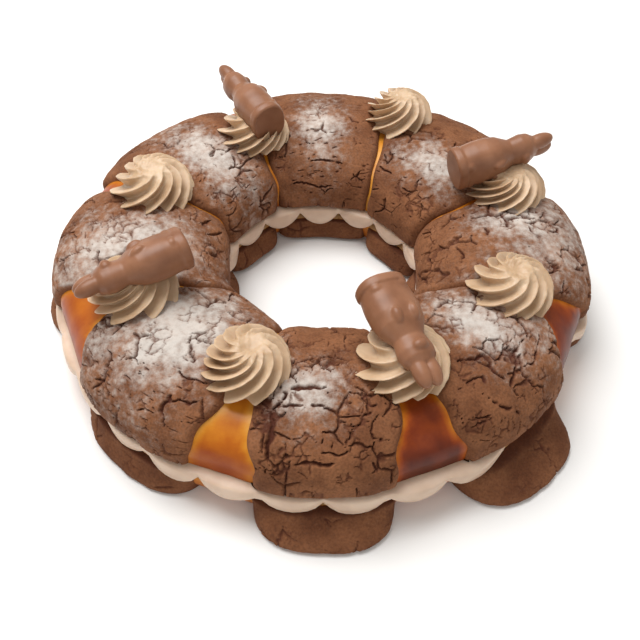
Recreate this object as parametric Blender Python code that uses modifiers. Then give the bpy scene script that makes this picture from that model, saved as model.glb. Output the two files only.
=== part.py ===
"""A filled ring loaf: dough split in two, piped cream between, cocoa paste panels that cracked in the
oven, cream rosettes over the seams and chocolate bunnies on every other rosette.

Run it with: blender --background --python part.py
Metres, +Z up. The origin is on the table, under the middle of the loaf's bounding box.
"""

import math
import random

import bmesh
import bpy
from mathutils import Euler, Matrix, Vector

MM = 0.001

# ---- the dough ring ----
RING_RADIUS = 91.9 * MM  # centre circle of the loaf
HALF_WIDTH = 39.3 * MM  # dough from its centre circle to its side, at the middle of a panel
CROWN = 50.3 * MM  # top of the dough, at the middle of a panel
EQUATOR = 29.0 * MM  # height where the dough is widest
BASE_SINK = 6.0 * MM  # how far the round section would reach under the table: it sets the flat base
SEAM_PINCH = 2.0 * MM  # the dough is narrower and lower at a seam
SIDE_WOBBLE = 1.0 * MM  # how far the ring strays from a circle
ROUND_TOP = 2.25  # exponents of the section's two halves: 2 is an ellipse, more is boxier
ROUND_BASE = 4.5
DOUGH_SEGMENTS = 44
DOUGH_SECTION = 16

# ---- the knife cut ----
LOWER_CUT = 13.0 * MM  # top face of the lower half
UPPER_CUT = 24.0 * MM  # underside of the upper half
GAP = 0.3 * MM  # between pieces that touch
DOUGH_CLEARANCE = 0.4 * MM  # between the dough and the paste cut back to it

# ---- the cocoa paste ----
PASTE = 4.2 * MM  # thickness at the middle of a panel
PASTE_RIM = 0.62  # share of it left at a panel's rim
PASTE_UNEVEN = 0.07  # share by which its thickness comes and goes
PASTE_SINK = 1.6 * MM  # how far a panel starts under the dough's skin before it is cut back to it
PANEL_GRID = (6, 10)  # faces across and along a panel
PANEL_LOW = -9.0  # section angles where a panel's two lower edges meet the knife cut
PANEL_HIGH = 189.0
SEAM_TIGHT = 0.8  # degrees that a seam is open on the inner side
SEAM_RAGGED = 0.5  # degrees that its line strays
SEAM_EDGE = 85.0  # section angle of the crown of a seam, where it stops being a wedge
SEAM_RUNS = (80.0, 45.0)  # degrees of section over which it closes to the crown and then to the hole
SLANT_RUN = 50.0  # degrees of section over which a seam slants, down its outer side
DRIFT_RUN = 75.0  # degrees of section over which it drifts, down to the hole

# A seam, in degrees: its azimuth at the crown, how far it slants down the outer side and drifts
# towards the hole, and its openings at the outer side and at the crown.
SEAMS = (
    (-108.5, 0.0, 0.0, 13.0, 5.2),
    (-66.4, -1.2, 0.0, 14.5, 8.0),
    (-20.5, -2.0, -12.0, 19.0, 3.0),
    (21.0, 0.0, 0.0, 6.0, 2.5),
    (69.5, 0.0, -5.5, 4.0, 1.7),
    (117.0, 0.0, 0.0, 8.0, 3.4),
    (162.0, 0.0, -2.0, 8.0, 3.4),
    (204.5, 0.0, 13.0, 21.0, 5.0),
)

# ---- the deepest cracks of the paste ----
CRACKS = 2  # by rule, on each panel
CRACK_WIDTH = 1.3 * MM
CRACK_SINK = 0.3 * MM  # how far the middle of its cutter lies under the paste's skin
CRACK_TIP = 0.45  # share of its width left at both ends
CRACK_STEPS = 4
CRACK_STEP = (0.10, 0.045)  # shares across and along that one step covers
LONG_CRACK = ((0.17, 0.58), (0.20, 0.46), (0.14, 0.36), (0.18, 0.24), (0.11, 0.11))

# ---- the paste left on the lower half ----
FOOT_REACH = (147.5, 152.0, 141, 146, 146, 146, 143, 140.5)  # radius of each outer skirt at the table, mm
FOOT_TOP = 2.1 * MM  # how far its top stands out of the dough
FOOT_OVERHANG = 0.5  # degrees by which it is wider than its panel, on each side
FOOT_FLARE = (0.1, 0.75)  # the shares down it where it starts to spread, and over which it does
FOOT_TUCK = 0.10  # share of the spread that turns back under at the table
FOOT_CORNER = 3.2  # exponent of its outline: 2 is round, more is boxier
FOOT_SIDE = 9.0 * MM  # how far its two ends lie in from the dough's side, at the table
FOOT_ROOT = (12.0 * MM, 10.0 * MM)  # its hidden wall: past the centre circle at the table, and its lean
FOOT_GRID = (8, 3)
INNER_REACH = (47, 46, 44, 45, 49, 46, 44, 45)  # radius of each inner skirt near the table, mm
INNER_LIFT = 2.0 * MM  # its lower edge stays off the table
INNER_TOP = 1.6 * MM  # how far its top stands out of the dough
INNER_INSET = 1.0  # degrees by which it is narrower than its panel, on each side
INNER_ROOT = 9.0 * MM  # its hidden wall, behind the dough's skin
INNER_GRID = (5, 2)

# ---- the cream between the halves ----
OUTER_MOUNDS = (30, 0.375)  # how many round the ring, and where the first one starts
INNER_MOUNDS = (15, 0.625)
CREAM_SECTION = 8
MOUND_FACES = 3
MOUND_BULGE = 4.5 * MM  # how far a mound swells past the valley beside it
MOUND_DROOP = 5.5 * MM  # how much higher the cream's underside is between two mounds
MOUND_UNEVEN = 0.22  # share by which one mound is smaller than the next
MOUND_ROUND = 0.7  # exponent of a mound's outline: less is blunter
CREAM_REACH = 43.5 * MM  # from the centre circle to the tip of a mound
CREAM_EDGE = 0.35  # exponent of the layer's section: less is boxier
DROOP_START = 0.6  # share of the way out where the underside starts to lift

# ---- the rosettes, one over each seam: azimuth, distance from the axis, diameter and height in mm,
# and the turn of the first ridge; angles in degrees ----
ROSETTES = (
    (-109.8, 91.8, 41, 17, 10),
    (-66.8, 88.7, 43, 15, 50),
    (-22.3, 94.3, 41, 16, 25),
    (21.0, 99.5, 41, 15, 70),
    (67.7, 102.6, 37, 17, 0),
    (117.9, 87.2, 40, 15, 40),
    (162.9, 94.1, 43, 17, 15),
    (206.4, 97.8, 43, 15, 60),
)
RIDGES = 11
RIDGE_DEPTH = 0.18  # share of the radius between a ridge and its valley
RIDGE_TWIST = 120  # degrees that a ridge turns on its way to the tip
RIDGE_EASE = 1.35  # exponent of that turn over the height
ROSETTE_LEAN = 0.06  # share of the diameter by which the tip stands off the middle
ROSETTE_SINK = 7 * MM  # how far its foot would reach under the paste
ROSETTE_FOOT = 0.22  # share of the rings that are below the paste
ROSETTE_NARROW = (0.55, 0.95)  # shares of the radius at the foot and where the dome starts
ROSETTE_DOME = (0.75, 1.05)  # exponents of the dome's radius and height
ROSETTE_RINGS = 8
COVER_CLEARANCE = 0.7 * MM  # between the paste and a rosette
COVER_GRID = (64, 24)

# ---- the bunnies: the rosette, centre of the base and tip of the ears in mm, and the roll about
# their length in degrees: 0 has the belly up ----
BUNNIES = (
    (1, (24.3, -55.5, 74.0), (47.4, -104.3, 65.0), -10),
    (3, (64.8, 34.3, 66.0), (116.6, 51.7, 74.0), 100),
    (5, (-30.4, 67.2, 66.0), (-60.8, 113.2, 68.0), 80),
    (7, (-62.5, -33.2, 72.0), (-111.5, -60.4, 66.0), 25),
)
BUNNY_FLATNESS = 0.82  # thickness of a bunny over its width
BUNNY_PRESS = 0.9 * MM  # how far the cream stands off it
BODY_STEPS = 12
BODY_PROFILE = (  # half width and height of the moulded body and head, mm
    (0.0, 0.0),
    (11.0, 0.0),
    (11.7, 1.8),
    (11.2, 6.2),
    (11.9, 13.4),
    (11.4, 21.4),
    (7.0, 30.1),
    (8.7, 35.2),
    (7.7, 41.0),
    (0.0, 45.0),
)
# An ellipsoid of the bunny: centre with its X for the right-hand one, half sizes, tilt, and faces.
EAR = ((3.8, 0.5, 46.6), (3.5, 3.2, 8.6), 4, (7, 5))
PAW = ((4.1, 8.0, 21.4), (2.3, 2.5, 4.1), 0, (6, 4))
MUZZLE = ((0.0, 5.5, 36.9), (3.7, 3.2, 2.9), 0, (6, 4))


def power(value, exponent):
    """A power that keeps the sign."""
    return math.copysign(abs(value) ** exponent, value)


def uneven(seed, number, spread):
    """A factor a little under 1 for one of a row of like things, the same each run."""
    return 1 - spread * random.Random(1000 * seed + number).random()


def smooth(value):
    """0 to 1, eased at both ends."""
    value = min(max(value, 0.0), 1.0)
    return value * value * (3 - 2 * value)


def seam_azimuth(index, phi):
    """Azimuth of a seam, in degrees, where the section angle is phi."""
    turns, seam = divmod(index, len(SEAMS))
    azimuth, slant, drift = SEAMS[seam][:3]
    ragged = SEAM_RAGGED * math.sin(math.radians(7 * phi + 50 * seam))
    aside = slant * smooth((SEAM_EDGE - phi) / SLANT_RUN) + drift * smooth((phi - SEAM_EDGE) / DRIFT_RUN)
    return azimuth + 360 * turns + aside + ragged


def seam_opening(index, phi):
    """Width of a seam in degrees: a wedge that is open at the outer side and shut at the hole."""
    opening, crown = SEAMS[index % len(SEAMS)][3:]
    outer = crown + (opening - crown) * smooth((SEAM_EDGE - phi) / SEAM_RUNS[0])
    return outer + (SEAM_TIGHT - outer) * smooth((phi - SEAM_EDGE) / SEAM_RUNS[1])


def panel_span(index, phi):
    """The azimuths where a panel starts and ends at one section angle, in degrees."""
    start = seam_azimuth(index, phi) + seam_opening(index, phi) / 2
    end = seam_azimuth(index + 1, phi) - seam_opening(index + 1, phi) / 2
    return start, end


def panel_place(theta, phi):
    """Where an azimuth falls across its panel: 0 and 1 are the rims, past them is a seam."""
    for index in range(len(SEAMS)):
        first = seam_azimuth(index, phi)
        last = seam_azimuth(index + 1, phi)
        azimuth = first + (theta - first) % 360
        if azimuth < last:
            start, end = panel_span(index, phi)
            return (azimuth - start) / (end - start)
    return 0.5


def swell(theta, phi):
    """1 at the middle of a panel and 0 at a seam."""
    across = min(max(panel_place(theta, phi), 0.0), 1.0)
    return 1 - abs(2 * across - 1) ** 3


def paste_height(theta, phi):
    """Height of the paste over the dough. Its rims are rounded down, and a seam counts as a rim."""
    return PASTE * (PASTE_RIM + (1 - PASTE_RIM) * swell(theta, phi) ** 0.6)


def dough_point(theta, phi, lift=0.0):
    """A point of the dough's skin. theta is the azimuth; phi runs from 0 at the outer side over 90 at
    the crown to 180 inside the ring, all in degrees. lift stands it off the skin."""
    pinch = SEAM_PINCH * (1 - swell(theta, 90))
    wobble = SIDE_WOBBLE * math.sin(math.radians(2 * theta + 40))
    across = HALF_WIDTH - pinch + wobble + lift
    above = CROWN - EQUATOR - pinch + lift
    below = EQUATOR + BASE_SINK + lift
    cosine, sine = math.cos(math.radians(phi)), math.sin(math.radians(phi))
    bend = 2 / (ROUND_TOP if sine > 0 else ROUND_BASE)
    radius = RING_RADIUS + across * power(cosine, bend)
    height = EQUATOR + (above if sine > 0 else below) * power(sine, bend)
    return polar(radius, theta, height)


def polar(radius, theta, height):
    """A point from its radius, azimuth in degrees and height."""
    angle = math.radians(theta)
    return Vector((radius * math.cos(angle), radius * math.sin(angle), height))


# ---- materials, collections and objects ----


def principled(name, colour, roughness, coat=0.0):
    """A Principled material."""
    material = bpy.data.materials.new(name)
    material.use_nodes = True
    shader = material.node_tree.nodes["Principled BSDF"]
    shader.inputs["Base Color"].default_value = (*colour, 1.0)
    shader.inputs["Roughness"].default_value = roughness
    shader.inputs["Metallic"].default_value = 0.0
    shader.inputs["Coat Weight"].default_value = coat
    return material


def collection(name):
    """A new collection in the scene."""
    made = bpy.data.collections.new(name)
    bpy.context.scene.collection.children.link(made)
    return made


def add_object(name, mesh, group, material=None, sharp=35):
    """An object of this mesh, in a collection and with a material."""
    made = bpy.data.objects.new(name, mesh)
    group.objects.link(made)
    if material:
        mesh.materials.append(material)
    mesh.shade_smooth()
    mesh.set_sharp_from_angle(angle=math.radians(sharp))
    return made


def as_cutter(obj):
    """Marks a helper that the loaf doesn't show."""
    obj.hide_render = True
    obj.display_type = "WIRE"
    return obj


def cut(obj, cutter):
    """A live Boolean on obj. MANIFOLD copes with the many grazing faces of one dough on another."""
    modifier = obj.modifiers.new(f"cut_{cutter.name}", "BOOLEAN")
    modifier.operation = "DIFFERENCE"
    modifier.solver = "MANIFOLD"
    modifier.object = cutter


def face_outwards(work):
    """Points a closed bmesh's faces outwards. A curved shell can come out of Blender's own turned in."""
    bmesh.ops.recalc_face_normals(work, faces=work.faces)
    if work.calc_volume(signed=True) < 0:
        bmesh.ops.reverse_faces(work, faces=work.faces)


# ---- the dough, and shapes that follow it ----


def ring_mesh(name, segments, section_segments, place):
    """A torus whose points are moved by place(theta, phi)."""
    bpy.ops.mesh.primitive_torus_add(
        major_segments=segments,
        minor_segments=section_segments,
        major_radius=RING_RADIUS,
        minor_radius=HALF_WIDTH,
    )
    made = bpy.context.object
    mesh = made.data
    mesh.name = name
    bpy.data.objects.remove(made)
    for vertex in mesh.vertices:
        theta = math.degrees(math.atan2(vertex.co.y, vertex.co.x))
        outward = math.hypot(vertex.co.x, vertex.co.y) - RING_RADIUS
        phi = math.degrees(math.atan2(vertex.co.z, outward))
        vertex.co = place(theta, phi)
    return mesh


def slice_ring(mesh, low=None, high=None):
    """Keeps the part of a ring between two heights and closes each cut with a flat ring of faces."""
    for height, upward in ((low, False), (high, True)):
        if height is None:
            continue
        work = bmesh.new()
        work.from_mesh(mesh)
        bmesh.ops.bisect_plane(
            work,
            geom=[*work.verts, *work.edges, *work.faces],
            plane_co=(0, 0, height),
            plane_no=(0, 0, 1),
            clear_outer=upward,
            clear_inner=not upward,
        )
        rims = [edge for edge in work.edges if edge.is_boundary]
        bmesh.ops.bridge_loops(work, edges=rims)
        face_outwards(work)
        work.to_mesh(mesh)
        work.free()
    return mesh


def dough_mesh(name, lift=0.0):
    """The whole uncut dough ring."""
    return ring_mesh(
        name, DOUGH_SEGMENTS, DOUGH_SECTION, lambda theta, phi: dough_point(theta, phi, lift)
    )


def slab_mesh(name, along, across, place):
    """A grid with a second layer under it, closed round its rim: place(u, v, w) gives each point, with
    w 0 on the hidden layer and 1 on the outer one."""
    work = bmesh.new()
    bmesh.ops.create_grid(work, x_segments=along, y_segments=across, size=0.5)
    lower = bmesh.ops.extrude_face_region(work, geom=work.faces[:])
    raised = [item for item in lower["geom"] if isinstance(item, bmesh.types.BMVert)]
    bmesh.ops.translate(work, verts=raised, vec=(0, 0, 1))
    for vertex in work.verts:
        vertex.co = place(vertex.co.x + 0.5, vertex.co.y + 0.5, vertex.co.z)
    face_outwards(work)
    mesh = bpy.data.meshes.new(name)
    work.to_mesh(mesh)
    work.free()
    return mesh


# ---- the cocoa panels ----


def panel_mesh(index):
    """One panel of paste over the upper half, thicker in the middle, its lower edges cut by the knife."""

    def place(u, v, w):
        phi = PANEL_LOW + (PANEL_HIGH - PANEL_LOW) * v
        start, end = panel_span(index, phi)
        theta = start + (end - start) * u
        lift = paste_height(theta, phi) * (1 + PASTE_UNEVEN * math.sin(9 * u + 5 * v + 2 * index))
        point = dough_point(theta, phi, lift if w else -PASTE_SINK)
        point.z = max(point.z, UPPER_CUT + GAP)
        return point

    return slab_mesh(f"panel_{index + 1}", *PANEL_GRID, place)


def crack_paths(index):
    """The deepest cracks of a panel as paths of (across, along) shares, by a seeded rule."""
    rule = random.Random(40 + index)
    paths = [LONG_CRACK] if index == 0 else []
    for start in range(CRACKS):
        across = rule.uniform(0.25, 0.75)
        along = 0.17 + 0.24 * start + rule.uniform(-0.05, 0.05)
        heading = rule.uniform(-0.6, 0.6) + (math.pi / 2 if start % 2 else 0)
        path = []
        for _ in range(CRACK_STEPS):
            path.append((across, along))
            across += CRACK_STEP[0] * math.cos(heading)
            along += CRACK_STEP[1] * math.sin(heading)
            heading += rule.uniform(-0.9, 0.9)
        paths.append([p for p in path if 0.08 < p[0] < 0.92 and 0.06 < p[1] < 0.94])
    return [path for path in paths if len(path) > 2]


def crack_cutter(name, index, path, group):
    """A thin tube along a crack, fine at both ends, as a mesh that can be cut away."""
    curve = bpy.data.curves.new(name, "CURVE")
    curve.dimensions = "3D"
    curve.bevel_depth = CRACK_WIDTH
    curve.bevel_resolution = 0
    curve.use_fill_caps = True
    spline = curve.splines.new("POLY")
    spline.points.add(len(path) - 1)
    for step, (across, along) in enumerate(path):
        phi = PANEL_LOW + (PANEL_HIGH - PANEL_LOW) * along
        start, end = panel_span(index, phi)
        theta = start + (end - start) * across
        point = dough_point(theta, phi, paste_height(theta, phi) - CRACK_SINK)
        spline.points[step].co = (*point, 1.0)
        spline.points[step].radius = CRACK_TIP if step in (0, len(path) - 1) else 1.0
    tube = bpy.data.objects.new(name, curve)
    group.objects.link(tube)
    bpy.context.view_layer.update()
    graph = bpy.context.evaluated_depsgraph_get()
    mesh = bpy.data.meshes.new_from_object(tube.evaluated_get(graph))
    bpy.data.objects.remove(tube)
    work = bmesh.new()
    work.from_mesh(mesh)
    bmesh.ops.remove_doubles(work, verts=work.verts, dist=0.01 * MM)
    face_outwards(work)
    work.to_mesh(mesh)
    work.free()
    return as_cutter(add_object(name, mesh, group))


def add_panels(group, cutters, material, dough_cutter):
    """The eight panels, each cut back to the dough under it and cracked."""
    for index in range(len(SEAMS)):
        panel = add_object(f"panel_{index + 1}", panel_mesh(index), group, material)
        cut(panel, dough_cutter)
        for number, path in enumerate(crack_paths(index)):
            name = f"crack_{index + 1}_{number + 1}"
            cut(panel, crack_cutter(name, index, path, cutters))


# ---- the paste left on the lower half ----


def outline(share):
    """1 along the middle of a foot and 0 at its two ends, with round corners."""
    return math.sqrt(max(1 - abs(2 * share - 1) ** FOOT_CORNER, 0.0))


def flare(share):
    """How far a foot has spread, at a share of the way down it."""
    start, run = FOOT_FLARE
    return smooth((share - start) / run) - FOOT_TUCK * smooth((share - start - run) / (1 - start - run))


def foot_mesh(index):
    """The skirt of paste that ran out on the tray under one panel."""
    reach = FOOT_REACH[index] * MM

    def place(u, v, w):
        start, end = panel_span(index, 0)
        theta = start - FOOT_OVERHANG + (end - start + 2 * FOOT_OVERHANG) * u
        height = (LOWER_CUT - GAP) * (1 - v)
        skin = dough_point(theta, 0).to_2d().length
        radius = skin + FOOT_TOP + (reach - skin - FOOT_TOP) * flare(v)
        root = RING_RADIUS + FOOT_ROOT[0] + FOOT_ROOT[1] * (1 - v)
        narrow = skin - FOOT_SIDE * v
        radius = narrow + (radius - narrow) * outline(u)
        return polar(radius if w else root, theta, height)

    return slab_mesh(f"foot_{index + 1}", *FOOT_GRID, place)


def inner_foot_mesh(index):
    """The paste that ran down the inner wall of the lower half, clear of the table."""
    reach = INNER_REACH[index] * MM

    def place(u, v, w):
        start, end = panel_span(index, 180)
        theta = start + INNER_INSET + (end - start - 2 * INNER_INSET) * u
        height = INNER_LIFT + (LOWER_CUT - GAP - INNER_LIFT) * (1 - v)
        skin = dough_point(theta, 180).to_2d().length
        radius = skin - INNER_TOP - (skin - INNER_TOP - reach) * flare(v)
        narrow = skin + INNER_TOP
        radius = narrow - (narrow - radius) * outline(u)
        return polar(radius if w else skin + INNER_ROOT, theta, height)

    return slab_mesh(f"inner_foot_{index + 1}", *INNER_GRID, place)


def add_feet(group, material, dough_cutter):
    """Paste on both walls of the lower half, cut back to the dough."""
    for index in range(len(SEAMS)):
        for mesh in (foot_mesh(index), inner_foot_mesh(index)):
            cut(add_object(mesh.name, mesh, group, material), dough_cutter)


# ---- the cream between the halves ----


def mound(theta, row):
    """1 at the middle of a full piped mound and 0 between two of them."""
    count, start = row
    place = theta * count / 360 + start
    size = uneven(count, math.floor(place) % count, MOUND_UNEVEN)
    return size * abs(math.sin(math.pi * place)) ** MOUND_ROUND


def cream_mesh():
    """A layer of piped mounds side by side: they show at the outer wall and inside the ring."""
    top, bottom = UPPER_CUT - GAP, LOWER_CUT + GAP

    def place(theta, phi):
        cosine, sine = math.cos(math.radians(phi)), math.sin(math.radians(phi))
        fullness = mound(theta, OUTER_MOUNDS if cosine > 0 else INNER_MOUNDS)
        reach = CREAM_REACH - MOUND_BULGE * (1 - fullness)
        outward = power(cosine, CREAM_EDGE)
        edge = smooth((abs(outward) - DROOP_START) / (1 - DROOP_START))
        low = bottom + MOUND_DROOP * (1 - fullness) * edge
        middle, half = (top + low) / 2, (top - low) / 2
        height = middle + half * power(sine, CREAM_EDGE)
        return polar(RING_RADIUS + reach * outward, theta, height)

    return ring_mesh("cream_filling", OUTER_MOUNDS[0] * MOUND_FACES, CREAM_SECTION, place)


# ---- the rosettes ----


def rosette_profile(level, radius, height):
    """Radius and height of a rosette at a level from 0, at its buried foot, to 1, at its tip."""
    if level < ROSETTE_FOOT:
        share = level / ROSETTE_FOOT
        foot, dome = ROSETTE_NARROW
        return radius * (foot + (dome - foot) * share), -ROSETTE_SINK * (1 - share)
    share = (level - ROSETTE_FOOT) / (1 - ROSETTE_FOOT)
    wide = math.cos(share * math.pi / 2) ** ROSETTE_DOME[0]
    return radius * wide, height * math.sin(share * math.pi / 2) ** ROSETTE_DOME[1]


def rosette_mesh(name, diameter, height, frame_turn):
    """A star-tip swirl: a dome with ridges that twist up to its tip. The tip leans to the loaf's +X,
    whatever way the rosette's own frame is turned."""
    work = bmesh.new()
    bmesh.ops.create_uvsphere(work, u_segments=2 * RIDGES, v_segments=ROSETTE_RINGS, radius=1.0)
    for vertex in work.verts:
        level = 1 - math.acos(max(-1.0, min(1.0, vertex.co.z))) / math.pi
        turn = math.degrees(math.atan2(vertex.co.y, vertex.co.x))
        on_ridge = round(turn / (180 / RIDGES)) % 2 == 0
        radius, z = rosette_profile(level, diameter / 2, height)
        if not on_ridge:
            radius *= 1 - RIDGE_DEPTH
        if math.hypot(vertex.co.x, vertex.co.y) < 1e-4:
            radius = 0.0
        vertex.co = polar(radius, turn + RIDGE_TWIST * level**RIDGE_EASE, z)
        vertex.co += polar(ROSETTE_LEAN * diameter * level, -frame_turn, 0.0)
    mesh = bpy.data.meshes.new(name)
    work.to_mesh(mesh)
    work.free()
    return mesh


def crown_seat(index):
    """A frame on the paste where a seam crosses the crown: +X away from the hole, +Z up."""
    azimuth, distance = ROSETTES[index][:2]
    crown = dough_point(azimuth, 90, PASTE * PASTE_RIM).z
    seat = bpy.data.objects.new(f"seat_{index + 1}", None)
    seat.location = polar(distance * MM, azimuth, crown)
    seat.rotation_euler = Euler((0, 0, math.radians(azimuth)))
    return seat


def cover_mesh():
    """A skin just over the paste, which shapes the undersides of the rosettes."""
    thickest = 1 + PASTE_UNEVEN
    return ring_mesh(
        "cover",
        *COVER_GRID,
        lambda theta, phi: dough_point(
            theta, phi, paste_height(theta, phi) * thickest + COVER_CLEARANCE
        ),
    )


def add_rosettes(group, cutters, material, seats):
    """A rosette over each seam, flat-bottomed on the paste."""
    cover = as_cutter(add_object("cover", cover_mesh(), cutters))
    made = []
    for index, (azimuth, _, diameter, height, turn) in enumerate(ROSETTES):
        name = f"rosette_{index + 1}"
        mesh = rosette_mesh(name, diameter * MM, height * MM, azimuth + turn)
        rosette = add_object(name, mesh, group, material, sharp=25)
        rosette.parent = seats[index]
        rosette.rotation_euler = Euler((0, 0, math.radians(turn)))
        cut(rosette, cover)
        made.append(rosette)
    return made


# ---- the bunnies ----


def turned_mesh(name, profile, steps, group):
    """A profile in millimetres turned about Z by a Screw modifier, as a mesh."""
    mesh = bpy.data.meshes.new(name)
    points = [(radius * MM, 0, height * MM) for radius, height in reversed(profile)]
    mesh.from_pydata(points, [(i, i + 1) for i in range(len(points) - 1)], [])
    shape = bpy.data.objects.new(name, mesh)
    group.objects.link(shape)
    screw = shape.modifiers.new("turn", "SCREW")
    screw.steps = screw.render_steps = steps
    screw.use_merge_vertices = True
    screw.merge_threshold = 0.0001
    bpy.context.view_layer.update()
    graph = bpy.context.evaluated_depsgraph_get()
    turned = bpy.data.meshes.new_from_object(shape.evaluated_get(graph))
    bpy.data.objects.remove(shape)
    work = bmesh.new()
    work.from_mesh(turned)
    bmesh.ops.remove_doubles(work, verts=work.verts, dist=0.01 * MM)
    face_outwards(work)
    work.to_mesh(turned)
    work.free()
    return turned


def ellipsoid(name, form, side, group):
    """One ellipsoid of the bunny, on the side given by 1 or -1, tilted about X."""
    centre, radii, tilt, (segments, rings) = form
    work = bmesh.new()
    bmesh.ops.create_uvsphere(work, u_segments=segments, v_segments=rings, radius=1.0)
    scale = Matrix.Diagonal((*[r * MM for r in radii], 1.0))
    turn = Matrix.Rotation(math.radians(tilt), 4, "X")
    move = Matrix.Translation(Vector((side * centre[0], *centre[1:])) * MM)
    work.transform(move @ turn @ scale)
    mesh = bpy.data.meshes.new(name)
    work.to_mesh(mesh)
    work.free()
    add_object(name, mesh, group)


def bunny_mesh(scratch):
    """A moulded bunny standing on its base: a turned body and head with ears, muzzle and paws."""
    body = add_object("body", turned_mesh("body", BODY_PROFILE, BODY_STEPS, scratch), scratch)
    body.data.transform(Matrix.Diagonal((1.0, BUNNY_FLATNESS, 1.0, 1.0)))
    pieces = collection("bunny_pieces")
    for side in (-1, 1):
        ellipsoid(f"ear_{side}", EAR, side, pieces)
        ellipsoid(f"paw_{side}", PAW, side, pieces)
    ellipsoid("muzzle", MUZZLE, 1, pieces)
    join = body.modifiers.new("join", "BOOLEAN")
    join.operation = "UNION"
    join.solver = "MANIFOLD"
    join.operand_type = "COLLECTION"
    join.collection = pieces
    bpy.context.view_layer.update()
    graph = bpy.context.evaluated_depsgraph_get()
    mesh = bpy.data.meshes.new_from_object(body.evaluated_get(graph))
    mesh.name = "bunny"
    for piece in [*pieces.objects, body]:
        bpy.data.objects.remove(piece)
    bpy.data.collections.remove(pieces)
    return mesh


def drop_scraps(obj):
    """Applies an object's modifiers and keeps its largest body, without any scrap a cut left beside it."""
    bpy.context.view_layer.update()
    graph = bpy.context.evaluated_depsgraph_get()
    mesh = bpy.data.meshes.new_from_object(obj.evaluated_get(graph))
    work = bmesh.new()
    work.from_mesh(mesh)
    loose, bodies = set(work.faces), []
    while loose:
        body, front = set(), [loose.pop()]
        while front:
            face = front.pop()
            body.add(face)
            joins = [edge for edge in face.edges if edge.is_manifold]
            beside = {other for edge in joins for other in edge.link_faces} & loose
            loose -= beside
            front.extend(beside)
        bodies.append(body)
    largest = max(bodies, key=lambda body: sum(face.calc_area() for face in body))
    bmesh.ops.delete(work, geom=[f for f in work.faces if f not in largest], context="FACES")
    work.to_mesh(mesh)
    work.free()
    obj.modifiers.clear()
    obj.data = mesh


def grown(mesh, name, distance):
    """A copy of a mesh with each point moved out along its normal."""
    copy = mesh.copy()
    copy.name = name
    for vertex in copy.vertices:
        vertex.co = vertex.co + vertex.normal * distance
    return copy


def bunny_matrix(base, tip, roll):
    """Lays a bunny with its base and the tip of its ears at two places, its belly up and then rolled."""
    low, high = Vector(base) * MM, Vector(tip) * MM
    length = (high - low).normalized()
    belly = (Vector((0, 0, 1)) - length * length.z).normalized()
    belly = Matrix.Rotation(math.radians(roll), 3, length) @ belly
    across = belly.cross(length)
    turn = Matrix((across, belly, length)).transposed().to_4x4()
    return Matrix.Translation(low) @ turn


def add_bunnies(group, cutters, material, rosettes):
    """The four bunnies, each pressed into its rosette."""
    scratch = collection("scratch")
    mesh = bunny_mesh(scratch)
    bpy.data.collections.remove(scratch)
    press = grown(mesh, "bunny_press", BUNNY_PRESS)
    for number, (index, base, tip, roll) in enumerate(BUNNIES):
        matrix = bunny_matrix(base, tip, roll)
        bunny = add_object(f"bunny_{number + 1}", mesh, group, material if number == 0 else None)
        bunny.matrix_world = matrix
        pressed = as_cutter(add_object(f"bunny_press_{number + 1}", press, cutters))
        pressed.matrix_world = matrix
        cut(rosettes[index], pressed)
        drop_scraps(rosettes[index])


def main():
    """Clears the scene and models the loaf."""
    for obj in list(bpy.data.objects):
        bpy.data.objects.remove(obj)
    loaf, cutters = collection("rosca"), collection("cutters")
    crust = principled("glazed_crust", (0.42, 0.17, 0.04), 0.35, coat=0.4)
    paste = principled("cocoa_paste", (0.22, 0.105, 0.052), 0.85)
    filling = principled("filling_cream", (0.60, 0.43, 0.32), 0.5)
    piping = principled("rosette_cream", (0.69, 0.48, 0.29), 0.5)
    chocolate = principled("milk_chocolate", (0.34, 0.19, 0.115), 0.38)

    upper = slice_ring(dough_mesh("bread_top"), low=UPPER_CUT)
    lower = slice_ring(dough_mesh("bread_bottom"), low=0.0, high=LOWER_CUT)
    add_object("bread_top", upper, loaf, crust)
    add_object("bread_bottom", lower, loaf, crust)
    add_object("cream_filling", cream_mesh(), loaf, filling, sharp=60)
    dough_cutter = as_cutter(add_object("dough_cutter", dough_mesh("dough_cutter", DOUGH_CLEARANCE), cutters))
    add_panels(loaf, cutters, paste, dough_cutter)
    add_feet(loaf, paste, dough_cutter)

    seats = [crown_seat(index) for index in range(len(SEAMS))]
    for seat in seats:
        loaf.objects.link(seat)
    bpy.context.view_layer.update()
    rosettes = add_rosettes(loaf, cutters, piping, seats)
    add_bunnies(loaf, cutters, chocolate, rosettes)


main()
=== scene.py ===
"""A rosca: a ring loaf split in two and filled with piped cream. Cocoa paste panels cracked in the oven
cover it, cream rosettes sit over the seams and moulded chocolate rabbits lie on every other rosette."""

import itertools
import logging
import math
import random
from collections.abc import Callable
from dataclasses import dataclass, field
from enum import Enum

import bmesh
import bpy
import numpy as np
from mathutils import Matrix, Vector


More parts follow.
